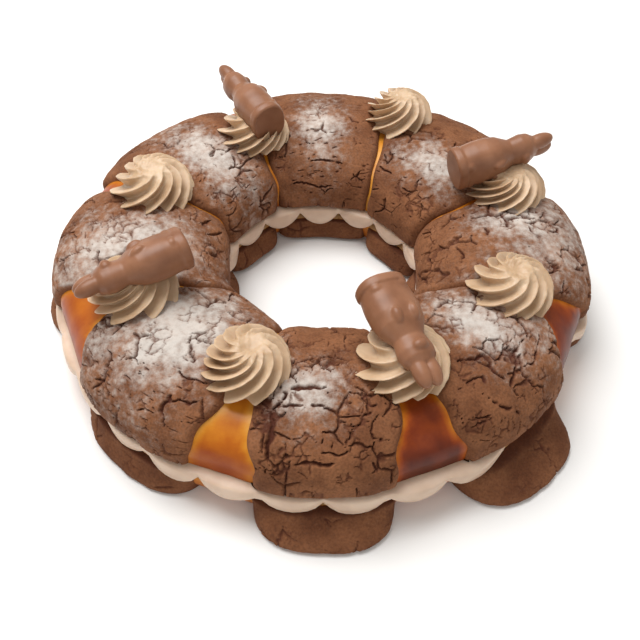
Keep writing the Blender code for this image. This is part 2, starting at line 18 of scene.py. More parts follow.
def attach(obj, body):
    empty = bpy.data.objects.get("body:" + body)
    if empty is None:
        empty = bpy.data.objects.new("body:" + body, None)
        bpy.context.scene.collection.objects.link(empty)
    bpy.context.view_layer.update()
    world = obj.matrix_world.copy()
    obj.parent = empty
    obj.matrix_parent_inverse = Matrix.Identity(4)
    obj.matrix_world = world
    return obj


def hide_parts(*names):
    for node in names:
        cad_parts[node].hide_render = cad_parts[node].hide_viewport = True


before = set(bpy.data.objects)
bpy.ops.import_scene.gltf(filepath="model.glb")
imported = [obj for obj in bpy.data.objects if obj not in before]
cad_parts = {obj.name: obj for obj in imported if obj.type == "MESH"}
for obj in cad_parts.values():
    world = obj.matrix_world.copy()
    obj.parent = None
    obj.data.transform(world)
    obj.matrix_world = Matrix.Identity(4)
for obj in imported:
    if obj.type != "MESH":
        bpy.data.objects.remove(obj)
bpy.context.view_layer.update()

MM = 0.001
BODY = "root"
log = logging.getLogger("rosca")


class Slot(Enum):
    """The record's names for the finishes."""

    CRUST = "glazed_crust"
    PASTE = "cocoa_paste"
    FILLING = "filling_cream"
    PIPING = "rosette_cream"
    CHOCOLATE = "milk_chocolate"


# ---- small tools for numbers ----


def smooth(values: np.ndarray | float) -> np.ndarray:
    """Eases 0 to 1 at both ends and holds the ends."""
    held = np.clip(values, 0.0, 1.0)
    return held * held * (3 - 2 * held)


def power(values: np.ndarray, exponent: np.ndarray | float) -> np.ndarray:
    """A power that keeps the sign."""
    return np.sign(values) * np.abs(values) ** exponent


def quarter_round(share: np.ndarray) -> np.ndarray:
    """Height of a quarter circle over its start: 0 at 0 and 1 from 1 on."""
    return np.sqrt(1 - (1 - np.clip(share, 0.0, 1.0)) ** 2)


def polar(radius: np.ndarray, theta: np.ndarray, height: np.ndarray) -> np.ndarray:
    """Points from radius, azimuth in degrees and height."""
    angle = np.radians(theta)
    return np.stack([radius * np.cos(angle), radius * np.sin(angle), height], axis=-1)


class Grain:
    """Repeatable noise in space, for relief that is part of a mesh."""

    def __init__(self, seed: int) -> None:
        """Draws the lattice.

        Args:
            seed: The number that fixes every draw.
        """
        draw = np.random.default_rng(seed)
        self._order = draw.permutation(256)
        slopes = draw.normal(size=(256, 3))
        self._slopes = slopes / np.linalg.norm(slopes, axis=1, keepdims=True)
        self._spots = draw.random((256, 3))

    def _pick(self, cells: np.ndarray) -> np.ndarray:
        """The lattice entry of each cell."""
        low = cells & 255
        first = self._order[low[:, 0]] + low[:, 1]
        second = self._order[first & 255] + low[:, 2]
        return self._order[second & 255]

    def swells(self, points: np.ndarray, size: float) -> np.ndarray:
        """Soft bumps and dips.

        Args:
            points: Places in millimetres.
            size: Distance between bumps in millimetres.

        Returns:
            About -1 to 1 for each place.
        """
        scaled = points / size
        cells = np.floor(scaled).astype(np.int64)
        inside = scaled - cells
        eased = inside**3 * (inside * (inside * 6 - 15) + 10)
        total = np.zeros(len(points))
        for corner in itertools.product((0, 1), repeat=3):
            slopes = self._slopes[self._pick(cells + corner)]
            share = np.where(corner, eased, 1 - eased).prod(axis=1)
            total += share * ((inside - corner) * slopes).sum(axis=1)
        return total * 1.7

    def layered(self, points: np.ndarray, size: float, layers: int = 3) -> np.ndarray:
        """Bumps with finer bumps on them, each layer half as wide and half as high."""
        total = np.zeros(len(points))
        for layer in range(layers):
            total += self.swells(points + 17.0 * layer, size / 2**layer) / 2**layer
        return total

    def wander(self, points: np.ndarray, size: float, reach: float) -> np.ndarray:
        """The places moved about, so that lines drawn through them turn ragged."""
        moves = [self.swells(points + 31.0 * axis, size) for axis in (1, 2, 3)]
        return points + reach * np.stack(moves, axis=-1)

    def to_border(self, points: np.ndarray, size: float) -> np.ndarray:
        """Distance to the border between the two nearest of a scatter of tiles.

        Args:
            points: Places in millimetres.
            size: Width of a tile in millimetres.

        Returns:
            Millimetres for each place.
        """
        scaled = points / size
        cells = np.floor(scaled).astype(np.int64)
        nearest = np.full(len(points), 99.0)
        runner_up = nearest.copy()
        centre = np.zeros_like(scaled)
        other = np.zeros_like(scaled)
        for step in itertools.product((-1, 0, 1), repeat=3):
            cell = cells + step
            spot = cell + self._spots[self._pick(cell)]
            gap = ((spot - scaled) ** 2).sum(axis=1)
            first = gap < nearest
            second = ~first & (gap < runner_up)
            other = np.where(first[:, None], centre, np.where(second[:, None], spot, other))
            runner_up = np.where(first, nearest, np.where(second, gap, runner_up))
            centre = np.where(first[:, None], spot, centre)
            nearest = np.where(first, gap, nearest)
        apart = np.maximum(np.linalg.norm(other - centre, axis=1), 1e-6)
        return (runner_up - nearest) / (2 * apart) * size


# ---- the loaf's own form ----


@dataclass(frozen=True)
class Seam:
    """The gap between two panels of paste: its azimuth at the crown, how far it slants down the outer side
    and drifts towards the hole, its openings at the outer side and at the crown, all in degrees, and how
    dark its crust is baked from 0 to 1."""

    azimuth: float
    slant: float
    drift: float
    opening: float
    crown: float
    bake: float


@dataclass(frozen=True)
class LoafForm:
    """The form of the dough and of what follows it. Lengths are millimetres and angles degrees.

    theta is the azimuth; phi runs round the section, from 0 at the outer side over 90 at the crown to
    180 inside the ring.
    """

    ring_radius: float = 91.9
    half_width: float = 39.3
    crown: float = 50.3
    equator: float = 29.0
    base_sink: float = 6.0
    seam_pinch: float = 2.0
    round_top: float = 2.25
    round_base: float = 4.5
    lower_cut: float = 13.0
    upper_cut: float = 24.0
    gap: float = 0.3
    paste: float = 4.2
    paste_rim: float = 0.62
    seam_tight: float = 0.8
    seam_ragged: float = 0.5
    seams: tuple[Seam, ...] = (
        Seam(-108.5, 0.0, 0.0, 13.0, 5.2, 0.47),
        Seam(-66.4, -1.2, 0.0, 14.5, 8.0, 0.86),
        Seam(-20.5, -2.0, -12.0, 19.0, 3.0, 0.84),
        Seam(21.0, 0.0, 0.0, 6.0, 2.5, 0.60),
        Seam(69.5, 0.0, -5.5, 4.0, 1.7, 0.36),
        Seam(117.0, 0.0, 0.0, 8.0, 3.4, 0.62),
        Seam(162.0, 0.0, -2.0, 8.0, 3.4, 0.66),
        Seam(204.5, 0.0, 13.0, 21.0, 5.0, 0.56),
    )

    def seam_azimuth(self, index: int, phi: np.ndarray) -> np.ndarray:
        """Azimuth of a seam at section angles phi."""
        turns, which = divmod(index, len(self.seams))
        seam = self.seams[which]
        ragged = self.seam_ragged * np.sin(np.radians(7 * phi + 50 * which))
        aside = seam.slant * smooth((85 - phi) / 50) + seam.drift * smooth((phi - 85) / 75)
        return seam.azimuth + 360 * turns + aside + ragged

    def seam_opening(self, index: int, phi: np.ndarray) -> np.ndarray:
        """Width of a seam: a wedge that is open at the outer side and shut at the hole."""
        seam = self.seams[index % len(self.seams)]
        outer = seam.crown + (seam.opening - seam.crown) * smooth((85 - phi) / 80)
        return outer + (self.seam_tight - outer) * smooth((phi - 85) / 45)

    def panel_span(self, index: int, phi: np.ndarray) -> tuple[np.ndarray, np.ndarray]:
        """The azimuths where a panel starts and ends."""
        start = self.seam_azimuth(index, phi) + self.seam_opening(index, phi) / 2
        end = self.seam_azimuth(index + 1, phi) - self.seam_opening(index + 1, phi) / 2
        return start, end

    def panel_place(self, theta: np.ndarray, phi: np.ndarray) -> tuple[np.ndarray, np.ndarray]:
        """Where azimuths fall across their panels.

        Returns:
            The share across, where 0 and 1 are the rims and past them is a seam, and the panel's index.
        """
        place = np.full(theta.shape, 0.5)
        which = np.zeros(theta.shape, dtype=int)
        for index in range(len(self.seams)):
            first = self.seam_azimuth(index, phi)
            last = self.seam_azimuth(index + 1, phi)
            azimuth = first + (theta - first) % 360
            start, end = self.panel_span(index, phi)
            here = azimuth < last
            place = np.where(here, (azimuth - start) / (end - start), place)
            which = np.where(here, index, which)
        return place, which

    def swell(self, theta: np.ndarray, phi: np.ndarray) -> np.ndarray:
        """1 at the middle of a panel and 0 at a seam."""
        across = np.clip(self.panel_place(theta, phi)[0], 0.0, 1.0)
        return 1 - np.abs(2 * across - 1) ** 3

    def dough_point(
        self, theta: np.ndarray, phi: np.ndarray, lift: np.ndarray | float = 0.0
    ) -> np.ndarray:
        """Points on the dough's skin, or lift millimetres off it."""
        pinch = self.seam_pinch * (1 - self.swell(theta, np.full(theta.shape, 90.0)))
        wobble = np.sin(np.radians(2 * theta + 40))
        across = self.half_width - pinch + wobble + lift
        above = self.crown - self.equator - pinch + lift
        below = self.equator + self.base_sink + lift
        cosine, sine = np.cos(np.radians(phi)), np.sin(np.radians(phi))
        bend = np.where(sine > 0, 2 / self.round_top, 2 / self.round_base)
        radius = self.ring_radius + across * power(cosine, bend)
        height = self.equator + np.where(sine > 0, above, below) * power(sine, bend)
        return polar(radius, theta, height)

    def paste_height(self, across: np.ndarray) -> np.ndarray:
        """Thickness of the paste at a share across its panel."""
        swell = 1 - np.abs(2 * np.clip(across, 0.0, 1.0) - 1) ** 3
        return self.paste * (self.paste_rim + (1 - self.paste_rim) * swell**0.6)


# ---- small tools for meshes ----


def deselect_all() -> None:
    """Leaves nothing selected."""
    for obj in bpy.context.selected_objects:
        obj.select_set(False)


def make_active(obj: bpy.types.Object) -> None:
    """Selects this object alone and makes it the active one."""
    deselect_all()
    obj.select_set(True)
    bpy.context.view_layer.objects.active = obj


def points_of(mesh: bpy.types.Mesh) -> np.ndarray:
    """A mesh's points in the mesh's own units."""
    flat = np.empty(len(mesh.vertices) * 3)
    mesh.vertices.foreach_get("co", flat)
    return flat.reshape(-1, 3)


def set_points(mesh: bpy.types.Mesh, points: np.ndarray) -> None:
    """Moves a mesh's points to places given in millimetres."""
    mesh.vertices.foreach_set("co", (points * MM).ravel())
    mesh.update()


def set_shade(mesh: bpy.types.Mesh, name: str, values: np.ndarray) -> None:
    """Stores a number for each point, which a material reads by name."""
    layer = mesh.attributes.new(name, "FLOAT", "POINT")
    layer.data.foreach_set("value", np.asarray(values, dtype=np.float32))


def face_outwards(obj: bpy.types.Object) -> None:
    """Points a closed mesh's faces outwards."""
    make_active(obj)
    bpy.ops.object.mode_set(mode="EDIT")
    bpy.ops.mesh.select_all(action="SELECT")
    bpy.ops.mesh.normals_make_consistent(inside=False)
    bpy.ops.object.mode_set(mode="OBJECT")
    work = bmesh.new()
    work.from_mesh(obj.data)
    inside_out = work.calc_volume(signed=True) < 0
    work.free()
    if inside_out:
        obj.data.flip_normals()


def add_slab(across: int, along: int, cuts: int) -> bpy.types.Object:
    """A closed slab over the unit square, coarse below and finely divided on top.

    Args:
        across: Coarse squares along X.
        along: Coarse squares along Y.
        cuts: Cuts through each coarse square of the top.

    Returns:
        The slab, its underside at height 0 and its top at height 1.
    """
    deselect_all()
    bpy.ops.mesh.primitive_grid_add(
        x_subdivisions=across, y_subdivisions=along, size=1.0, location=(0, 0, 0)
    )
    slab = bpy.context.object
    bpy.ops.object.mode_set(mode="EDIT")
    bpy.ops.mesh.select_all(action="SELECT")
    bpy.ops.mesh.extrude_region_move(TRANSFORM_OT_translate={"value": (0, 0, 1)})
    bpy.ops.mesh.subdivide(number_cuts=cuts)
    bpy.ops.object.mode_set(mode="OBJECT")
    return slab


def dress(
    obj: bpy.types.Object,
    node: str,
    materials: list[bpy.types.Material],
    sharp: float = 60.0,
) -> bpy.types.Object:
    """Names a finished piece, gives it its finish and puts it in its node's place.

    Args:
        obj: The piece, its place in its mesh.
        node: The CAD node that it stands for.
        materials: Its finishes, in the order of its faces' indices.
        sharp: Edges steeper than this many degrees stay crisp.

    Returns:
        The piece.
    """
    obj.name = f"{node}_dressed"
    obj.data.name = obj.name
    for material in materials:
        obj.data.materials.append(material)
    make_active(obj)
    bpy.ops.object.shade_smooth_by_angle(angle=math.radians(sharp))
    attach(obj, BODY)
    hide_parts(node)
    log.info("%s: %d faces", obj.name, len(obj.data.polygons))
    return obj


# ---- finishes ----


def linear(hex_colour: str) -> tuple[float, float, float, float]:
    """An sRGB hex colour as the linear colour that a shader takes."""
    shares = [int(hex_colour[i : i + 2], 16) / 255 for i in (1, 3, 5)]
    out = [s / 12.92 if s <= 0.04045 else ((s + 0.055) / 1.055) ** 2.4 for s in shares]
    return (out[0], out[1], out[2], 1.0)


def add_node(
    tree: bpy.types.NodeTree, kind: str, inputs: dict | None = None, **settings: object
) -> bpy.types.Node:
    """Adds a shader node.

    Args:
        tree: The material's node tree.
        kind: The node's type name.
        inputs: For each input, by name or number, a socket to link or a value to set.
        settings: The node's own properties.

    Returns:
        The node.
    """
    node = tree.nodes.new(kind)
    for name, value in settings.items():
        setattr(node, name, value)
    for name, value in (inputs or {}).items():
        if isinstance(value, bpy.types.NodeSocket):
            tree.links.new(value, node.inputs[name])
        else:
            node.inputs[name].default_value = value
    return node


def set_stops(ramp: bpy.types.Node, stops: dict[float, str]) -> None:
    """Sets a colour ramp's stops, from place to sRGB hex colour."""
    elements = ramp.color_ramp.elements
    while len(elements) > 1:
        elements.remove(elements[-1])
    for number, (place, colour) in enumerate(sorted(stops.items())):
        element = elements[0] if number == 0 else elements.new(place)
        element.position = place
        element.color = linear(colour)


def per(size_mm: float) -> float:
    """A texture's scale for a pattern of this size."""
    return 1 / (size_mm * MM)


def add_noise(
    tree: bpy.types.NodeTree, place: bpy.types.NodeSocket, size_mm: float, detail: float
) -> bpy.types.Node:
    """Adds a noise whose pattern has this size."""
    return add_node(tree, "ShaderNodeTexNoise", {"Vector": place, "Scale": per(size_mm), "Detail": detail})


def add_bump(
    shader: bpy.types.Node, height: bpy.types.NodeSocket, strength: float, depth_mm: float
) -> None:
    """Roughens a shader's surface by a height, this many millimetres deep."""
    tree = shader.id_data
    bump = add_node(
        tree, "ShaderNodeBump", {"Height": height, "Strength": strength, "Distance": depth_mm * MM}
    )
    tree.links.new(bump.outputs["Normal"], shader.inputs["Normal"])


@dataclass(frozen=True)
class Finish:
    """A surface: what every finish shares."""

    name: str
    roughness: float
    ior: float = 1.5

    def start(self) -> tuple[bpy.types.Material, bpy.types.Node, bpy.types.NodeSocket]:
        """A new material.

        Returns:
            The material, its Principled shader and the socket of Object coordinates.
        """
        material = bpy.data.materials.new(self.name)
        material.use_nodes = True
        tree = material.node_tree
        shader = tree.nodes["Principled BSDF"]
        shader.inputs["Roughness"].default_value = self.roughness
        shader.inputs["IOR"].default_value = self.ior
        place = add_node(tree, "ShaderNodeTexCoord").outputs["Object"]
        return material, shader, place

    def material(self) -> bpy.types.Material:
        """The finished material."""
        raise NotImplementedError


@dataclass(frozen=True)
class CocoaPaste(Finish):
    """Cocoa sugar paste, rolled, laid on and baked. It dries matt, with a short sandy tooth, and opens
    in cracks that show the darker inside; sieved icing sugar lies on it as a dull white."""

    name: str = "cocoa_paste_baked"
    roughness: float = 0.88
    light: str = "#8D5C3C"
    dark: str = "#6D4228"
    # Colour inside the cracks, also used for the painted shade on the feet.
    inside: str = "#4C2415"
    sugar: str = "#D9D4CC"
    sugar_most: float = 0.74
    blotch_mm: float = 14.0
    tooth_mm: float = 1.1
    powder_mm: float = 0.8
    powder_most: float = 0.45  # how much the fine noise adds to the sugar's own share
    bare_below: float = 0.22  # the sum at which sugar begins to show
    full_above: float = 1.32  # the sum at which it covers the most

    def material(self) -> bpy.types.Material:
        """Mottled brown, darker in the cracks and in the painted shade that the mesh gives the feet, with
        sugar where the mesh says so.
        """
        material, shader, place = self.start()
        tree = material.node_tree
        blotch = add_noise(tree, place, self.blotch_mm, 6.0)
        brown = add_node(tree, "ShaderNodeValToRGB", {"Fac": blotch.outputs["Fac"]})
        set_stops(brown, {0.35: self.dark, 0.65: self.light})
        tooth = add_noise(tree, place, self.tooth_mm, 4.0)
        shade = add_node(tree, "ShaderNodeValToRGB", {"Fac": tooth.outputs["Fac"]})
        set_stops(shade, {0.3: "#C8C8C8", 0.6: "#FFFFFF"})
        sandy = add_node(
            tree,
            "ShaderNodeMix",
            {"Factor": 0.8, 6: brown.outputs["Color"], 7: shade.outputs["Color"]},
            data_type="RGBA",
            blend_type="MULTIPLY",
        )
        # The crack attribute: depth in a crack, and on the feet also painted shade.
        crack = add_node(tree, "ShaderNodeAttribute", attribute_name="crack")
        cracked = add_node(
            tree,
            "ShaderNodeMix",
            {"Factor": crack.outputs["Fac"], 6: sandy.outputs[2], 7: linear(self.inside)},
            data_type="RGBA",
        )
        sugar = add_node(tree, "ShaderNodeAttribute", attribute_name="sugar")
        powder = add_noise(tree, place, self.powder_mm, 3.0)
        spread = add_node(
            tree,
            "ShaderNodeMath",
            {0: powder.outputs["Fac"], 1: self.powder_most, 2: sugar.outputs["Fac"]},
            operation="MULTIPLY_ADD",
        )
        cover = add_node(
            tree,
            "ShaderNodeMapRange",
            {
                "Value": spread.outputs[0],
                "From Min": self.bare_below,
                "From Max": self.full_above,
                "To Max": self.sugar_most,
            },
            interpolation_type="SMOOTHSTEP",
        )
        dusted = add_node(
            tree,
            "ShaderNodeMix",
            {"Factor": cover.outputs[0], 6: cracked.outputs[2], 7: linear(self.sugar)},
            data_type="RGBA",
        )
        tree.links.new(dusted.outputs[2], shader.inputs["Base Color"])
        shader.inputs["Specular IOR Level"].default_value = 0.25
        add_bump(shader, tooth.outputs["Fac"], 0.45, 0.5)
        return material


# Egg-washed crust from pale gold to deep chestnut: how far it is baked, and its sRGB hex colour.
CRUST_TONES: dict[float, str] = {
    0.0: "#D69A40",
    0.22: "#C67C1C",
    0.42: "#AE5C0E",
    0.62: "#94400A",
    0.82: "#722A08",
    1.0: "#541C07",
}


@dataclass(frozen=True)
class GlazedCrust(Finish):
    """Egg-washed dough, baked: the wash dries to a gloss, pale gold where the paste shaded it and deep
    chestnut where the oven reached it."""

    name: str = "egg_washed_crust_baked"
    roughness: float = 0.42
    blotch_mm: float = 9.0
    blotch_shift: float = 0.09  # how far the blotches shift the bake, either way
    skin_mm: float = 1.6
    specular: float = 0.18
    coat: float = 0.16
    coat_roughness: float = 0.18

    def material(self) -> bpy.types.Material:
        """Gold to chestnut by how far the mesh says it is baked, under a thin clear coat."""
        material, shader, place = self.start()
        tree = material.node_tree
        bake = add_node(tree, "ShaderNodeAttribute", attribute_name="bake")
        blotch = add_noise(tree, place, self.blotch_mm, 5.0)
        uneven = add_node(
            tree,
            "ShaderNodeMapRange",
            {
                "Value": blotch.outputs["Fac"],
                "From Min": 0.3,
                "From Max": 0.7,
                "To Min": -self.blotch_shift,
                "To Max": self.blotch_shift,
            },
        )
        total = add_node(
            tree, "ShaderNodeMath", {0: bake.outputs["Fac"], 1: uneven.outputs[0]}, operation="ADD"
        )
        ramp = add_node(tree, "ShaderNodeValToRGB", {"Fac": total.outputs[0]})
        set_stops(ramp, CRUST_TONES)
        tree.links.new(ramp.outputs["Color"], shader.inputs["Base Color"])
        skin = add_noise(tree, place, self.skin_mm, 3.0)
        add_bump(shader, skin.outputs["Fac"], 0.12, 0.3)
        shader.inputs["Specular IOR Level"].default_value = self.specular
        shader.inputs["Coat Weight"].default_value = self.coat
        shader.inputs["Coat Roughness"].default_value = self.coat_roughness
        return material


@dataclass(frozen=True)
class Crumb(Finish):
    """The inside of the bread, cut with a knife: pale, dull and full of small holes."""

    name: str = "bread_crumb_cut"
    roughness: float = 0.9
    pale: str = "#DDB988"
    # Painted shade in the pores.
    hole: str = "#B98B58"
    hole_mm: float = 2.4

    def material(self) -> bpy.types.Material:
        """Pale crumb with painted shade in its pores."""
        material, shader, place = self.start()
        tree = material.node_tree
        holes = add_node(tree, "ShaderNodeTexVoronoi", {"Vector": place, "Scale": per(self.hole_mm)})
        ramp = add_node(tree, "ShaderNodeValToRGB", {"Fac": holes.outputs["Distance"]})
        set_stops(ramp, {0.15: self.hole, 0.45: self.pale})
        tree.links.new(ramp.outputs["Color"], shader.inputs["Base Color"])
        add_bump(shader, holes.outputs["Distance"], 0.6, 0.8)
        return material


@dataclass(frozen=True)
class Cream(Finish):
    """Whipped cream out of a piping bag: smooth, soft at its edges because light enters it, with a few
    pinholes from the air in it."""

    name: str = "cream_piped"
    roughness: float = 0.45
    pale: str = "#CCB091"
    deep: str = "#B89876"
    blotch_mm: float = 12.0
    bubble_mm: float = 9.0
    bubble_share: float = 0.045
    glow_mm: float = 1.6

    def material(self) -> bpy.types.Material:
        """Two close creams in soft blotches, with light let in and sparse pinholes."""
        material, shader, place = self.start()
        tree = material.node_tree
        blotch = add_noise(tree, place, self.blotch_mm, 3.0)
        ramp = add_node(tree, "ShaderNodeValToRGB", {"Fac": blotch.outputs["Fac"]})
        set_stops(ramp, {0.35: self.deep, 0.6: self.pale})
        tree.links.new(ramp.outputs["Color"], shader.inputs["Base Color"])
        bubbles = add_node(
            tree, "ShaderNodeTexVoronoi", {"Vector": place, "Scale": per(self.bubble_mm)}
        )
        pits = add_node(
            tree,
            "ShaderNodeMapRange",
            {"Value": bubbles.outputs["Distance"], "From Min": 0.0, "From Max": self.bubble_share},
        )
        add_bump(shader, pits.outputs[0], 0.8, 0.4)
        shader.inputs["Subsurface Weight"].default_value = 0.25
        shader.inputs["Subsurface Radius"].default_value = (1.0, 0.7, 0.45)
        shader.inputs["Subsurface Scale"].default_value = self.glow_mm * MM
        return material


@dataclass(frozen=True)
class MilkChocolate(Finish):
    """Tempered milk chocolate, cast in a polished mould: satin, with a faint bloom from handling."""

    name: str = "milk_chocolate_moulded"
    roughness: float = 0.40
    light: str = "#936549"
    dark: str = "#80543A"
    bloom_mm: float = 11.0
    print_mm: float = 2.2

    def material(self) -> bpy.types.Material:
        """Even brown with soft bloom and the least unevenness of gloss."""
        material, shader, place = self.start()
        tree = material.node_tree
        bloom = add_noise(tree, place, self.bloom_mm, 4.0)
        ramp = add_node(tree, "ShaderNodeValToRGB", {"Fac": bloom.outputs["Fac"]})
        set_stops(ramp, {0.35: self.dark, 0.65: self.light})
        tree.links.new(ramp.outputs["Color"], shader.inputs["Base Color"])
        marks = add_noise(tree, place, self.print_mm, 2.0)
        add_bump(shader, marks.outputs["Fac"], 0.06, 0.3)
        shader.inputs["Specular IOR Level"].default_value = 0.35
        shader.inputs["Subsurface Weight"].default_value = 0.08
        shader.inputs["Subsurface Radius"].default_value = (1.0, 0.5, 0.3)
        shader.inputs["Subsurface Scale"].default_value = 1.0 * MM
        return material


# ---- the bread ----


@dataclass
class Bread:
    """The two halves of the loaf."""

    form: LoafForm
    segments: int = 480
    section: int = 96
    fringe: float = 4.4  # width of the paler crust beside a panel, mm
    open_seam: float = 13.0  # a seam this many degrees open shows its whole fringe
    lumps: float = 0.35  # height of the crust's slow unevenness, mm
    side_bake: float = 0.26  # how much darker the outer side is than the crown
    fringe_pale: float = 0.10  # how much paler the fringe is
    fringe_share: float = 0.42  # how much paler still, as a share of the crust's own bake
    low_bake: float = 0.36  # bake of the lower half
    low_change: float = 0.16  # how much darker that is at the base, and paler under the cut
    base_band: float = 7.0  # height of the darker band at the base, mm
    cut_band: tuple[float, float] = (3.5, 3.0)  # how far below the cut it starts to pale, and over what, mm
    grain: Grain = field(default_factory=lambda: Grain(5))

    def _ring(self) -> tuple[bpy.types.Object, np.ndarray, np.ndarray]:
        """The uncut ring with the azimuth and section angle of each point."""
        deselect_all()
        bpy.ops.mesh.primitive_torus_add(
            major_segments=self.segments,
            minor_segments=self.section,
            major_radius=self.form.ring_radius * MM,
            minor_radius=self.form.half_width * MM,
        )
        ring = bpy.context.object
        points = points_of(ring.data) / MM
        theta = np.degrees(np.arctan2(points[:, 1], points[:, 0]))
        outward = np.hypot(points[:, 0], points[:, 1]) - self.form.ring_radius
        phi = np.degrees(np.arctan2(points[:, 2], outward))
        return ring, theta, phi

    def _bake(self, theta: np.ndarray, phi: np.ndarray) -> np.ndarray:
        """How dark each place is baked: pale beside the paste, darker low on the side."""
        place, which = self.form.panel_place(theta, phi)
        start_bake = np.array([seam.bake for seam in self.form.seams])
        after = np.where(place > 0.5, which + 1, which) % len(self.form.seams)
        past_rim = np.zeros(theta.shape)  # millimetres past a panel's rim, below 0 under the paste
        for index in range(len(self.form.seams)):
            start, end = self.form.panel_span(index, phi)
            width = np.radians(end - start) * (self.form.ring_radius + self.form.half_width * 0.8)
            past_rim = np.where(which == index, np.maximum(-place, place - 1) * width, past_rim)
        fringe = 1 - smooth(past_rim / self.fringe)
        low = smooth((60 - phi) / 70)
        tone = start_bake[after]
        wide = np.array([min(seam.opening / self.open_seam, 1.0) for seam in self.form.seams])[after]
        paler = self.fringe_pale + self.fringe_share * tone
        return tone + self.side_bake * (low - 0.5) - fringe * wide * paler

    def _cut(self, ring: bpy.types.Object, height: float, keep_above: bool) -> None:
        """Slices the ring with a level knife and closes the cut with a flat face."""
        make_active(ring)
        bpy.ops.object.mode_set(mode="EDIT")
        bpy.ops.mesh.select_all(action="SELECT")
        bpy.ops.mesh.bisect(
            plane_co=(0, 0, height * MM),
            plane_no=(0, 0, 1),
            clear_inner=keep_above,
            clear_outer=not keep_above,
        )
        bpy.ops.mesh.bridge_edge_loops()
        bpy.ops.object.mode_set(mode="OBJECT")

    def _mark_crumb(self, ring: bpy.types.Object, height: float) -> None:
        """Gives the faces of a cut the second finish."""
        for face in ring.data.polygons:
            if abs(face.normal.z) > 0.999 and abs(face.center.z - height * MM) < 0.01 * MM:
                face.material_index = 1

    def build(self, crust: bpy.types.Material, crumb: bpy.types.Material) -> None:
        """Makes both halves.

        Args:
            crust: The baked outside.
            crumb: The cut inside.
        """
        form = self.form
        for node, cuts in (
            ("bread_top", ((form.upper_cut, True),)),
            ("bread_bottom", ((form.lower_cut, False), (0.0, True))),
        ):
            ring, theta, phi = self._ring()
            skin = form.dough_point(theta, phi)
            lift = self.lumps * self.grain.layered(skin, 16.0)
            set_points(ring.data, form.dough_point(theta, phi, lift))
            bake = self._bake(theta, phi)
            if node == "bread_bottom":
                height = skin[:, 2]
                below, band = self.cut_band
                edge = smooth((height - form.lower_cut + below) / band)
                base = smooth((self.base_band - height) / self.base_band)
                bake = self.low_bake + self.low_change * base - self.low_change * edge
            set_shade(ring.data, "bake", bake)
            for height, keep_above in cuts:
                self._cut(ring, height, keep_above)
            face_outwards(ring)
            self._mark_crumb(ring, cuts[0][0])
            dress(ring, node, [crust, crumb], sharp=40)


# ---- the paste ----


@dataclass(frozen=True)
class Crack:
    """A crack drawn on a panel.

    path holds (share across the panel, share along it from the outer edge), and width is half its
    greatest width in millimetres.
    """

    path: tuple[tuple[float, float], ...]
    width: float = 0.7
    depth: float = 1.5


@dataclass(frozen=True)
class Dusting:
    """A patch of icing sugar seen from above, in degrees and millimetres."""

    azimuth: float
    radius: float
    across: float
    along: float
    cover: float


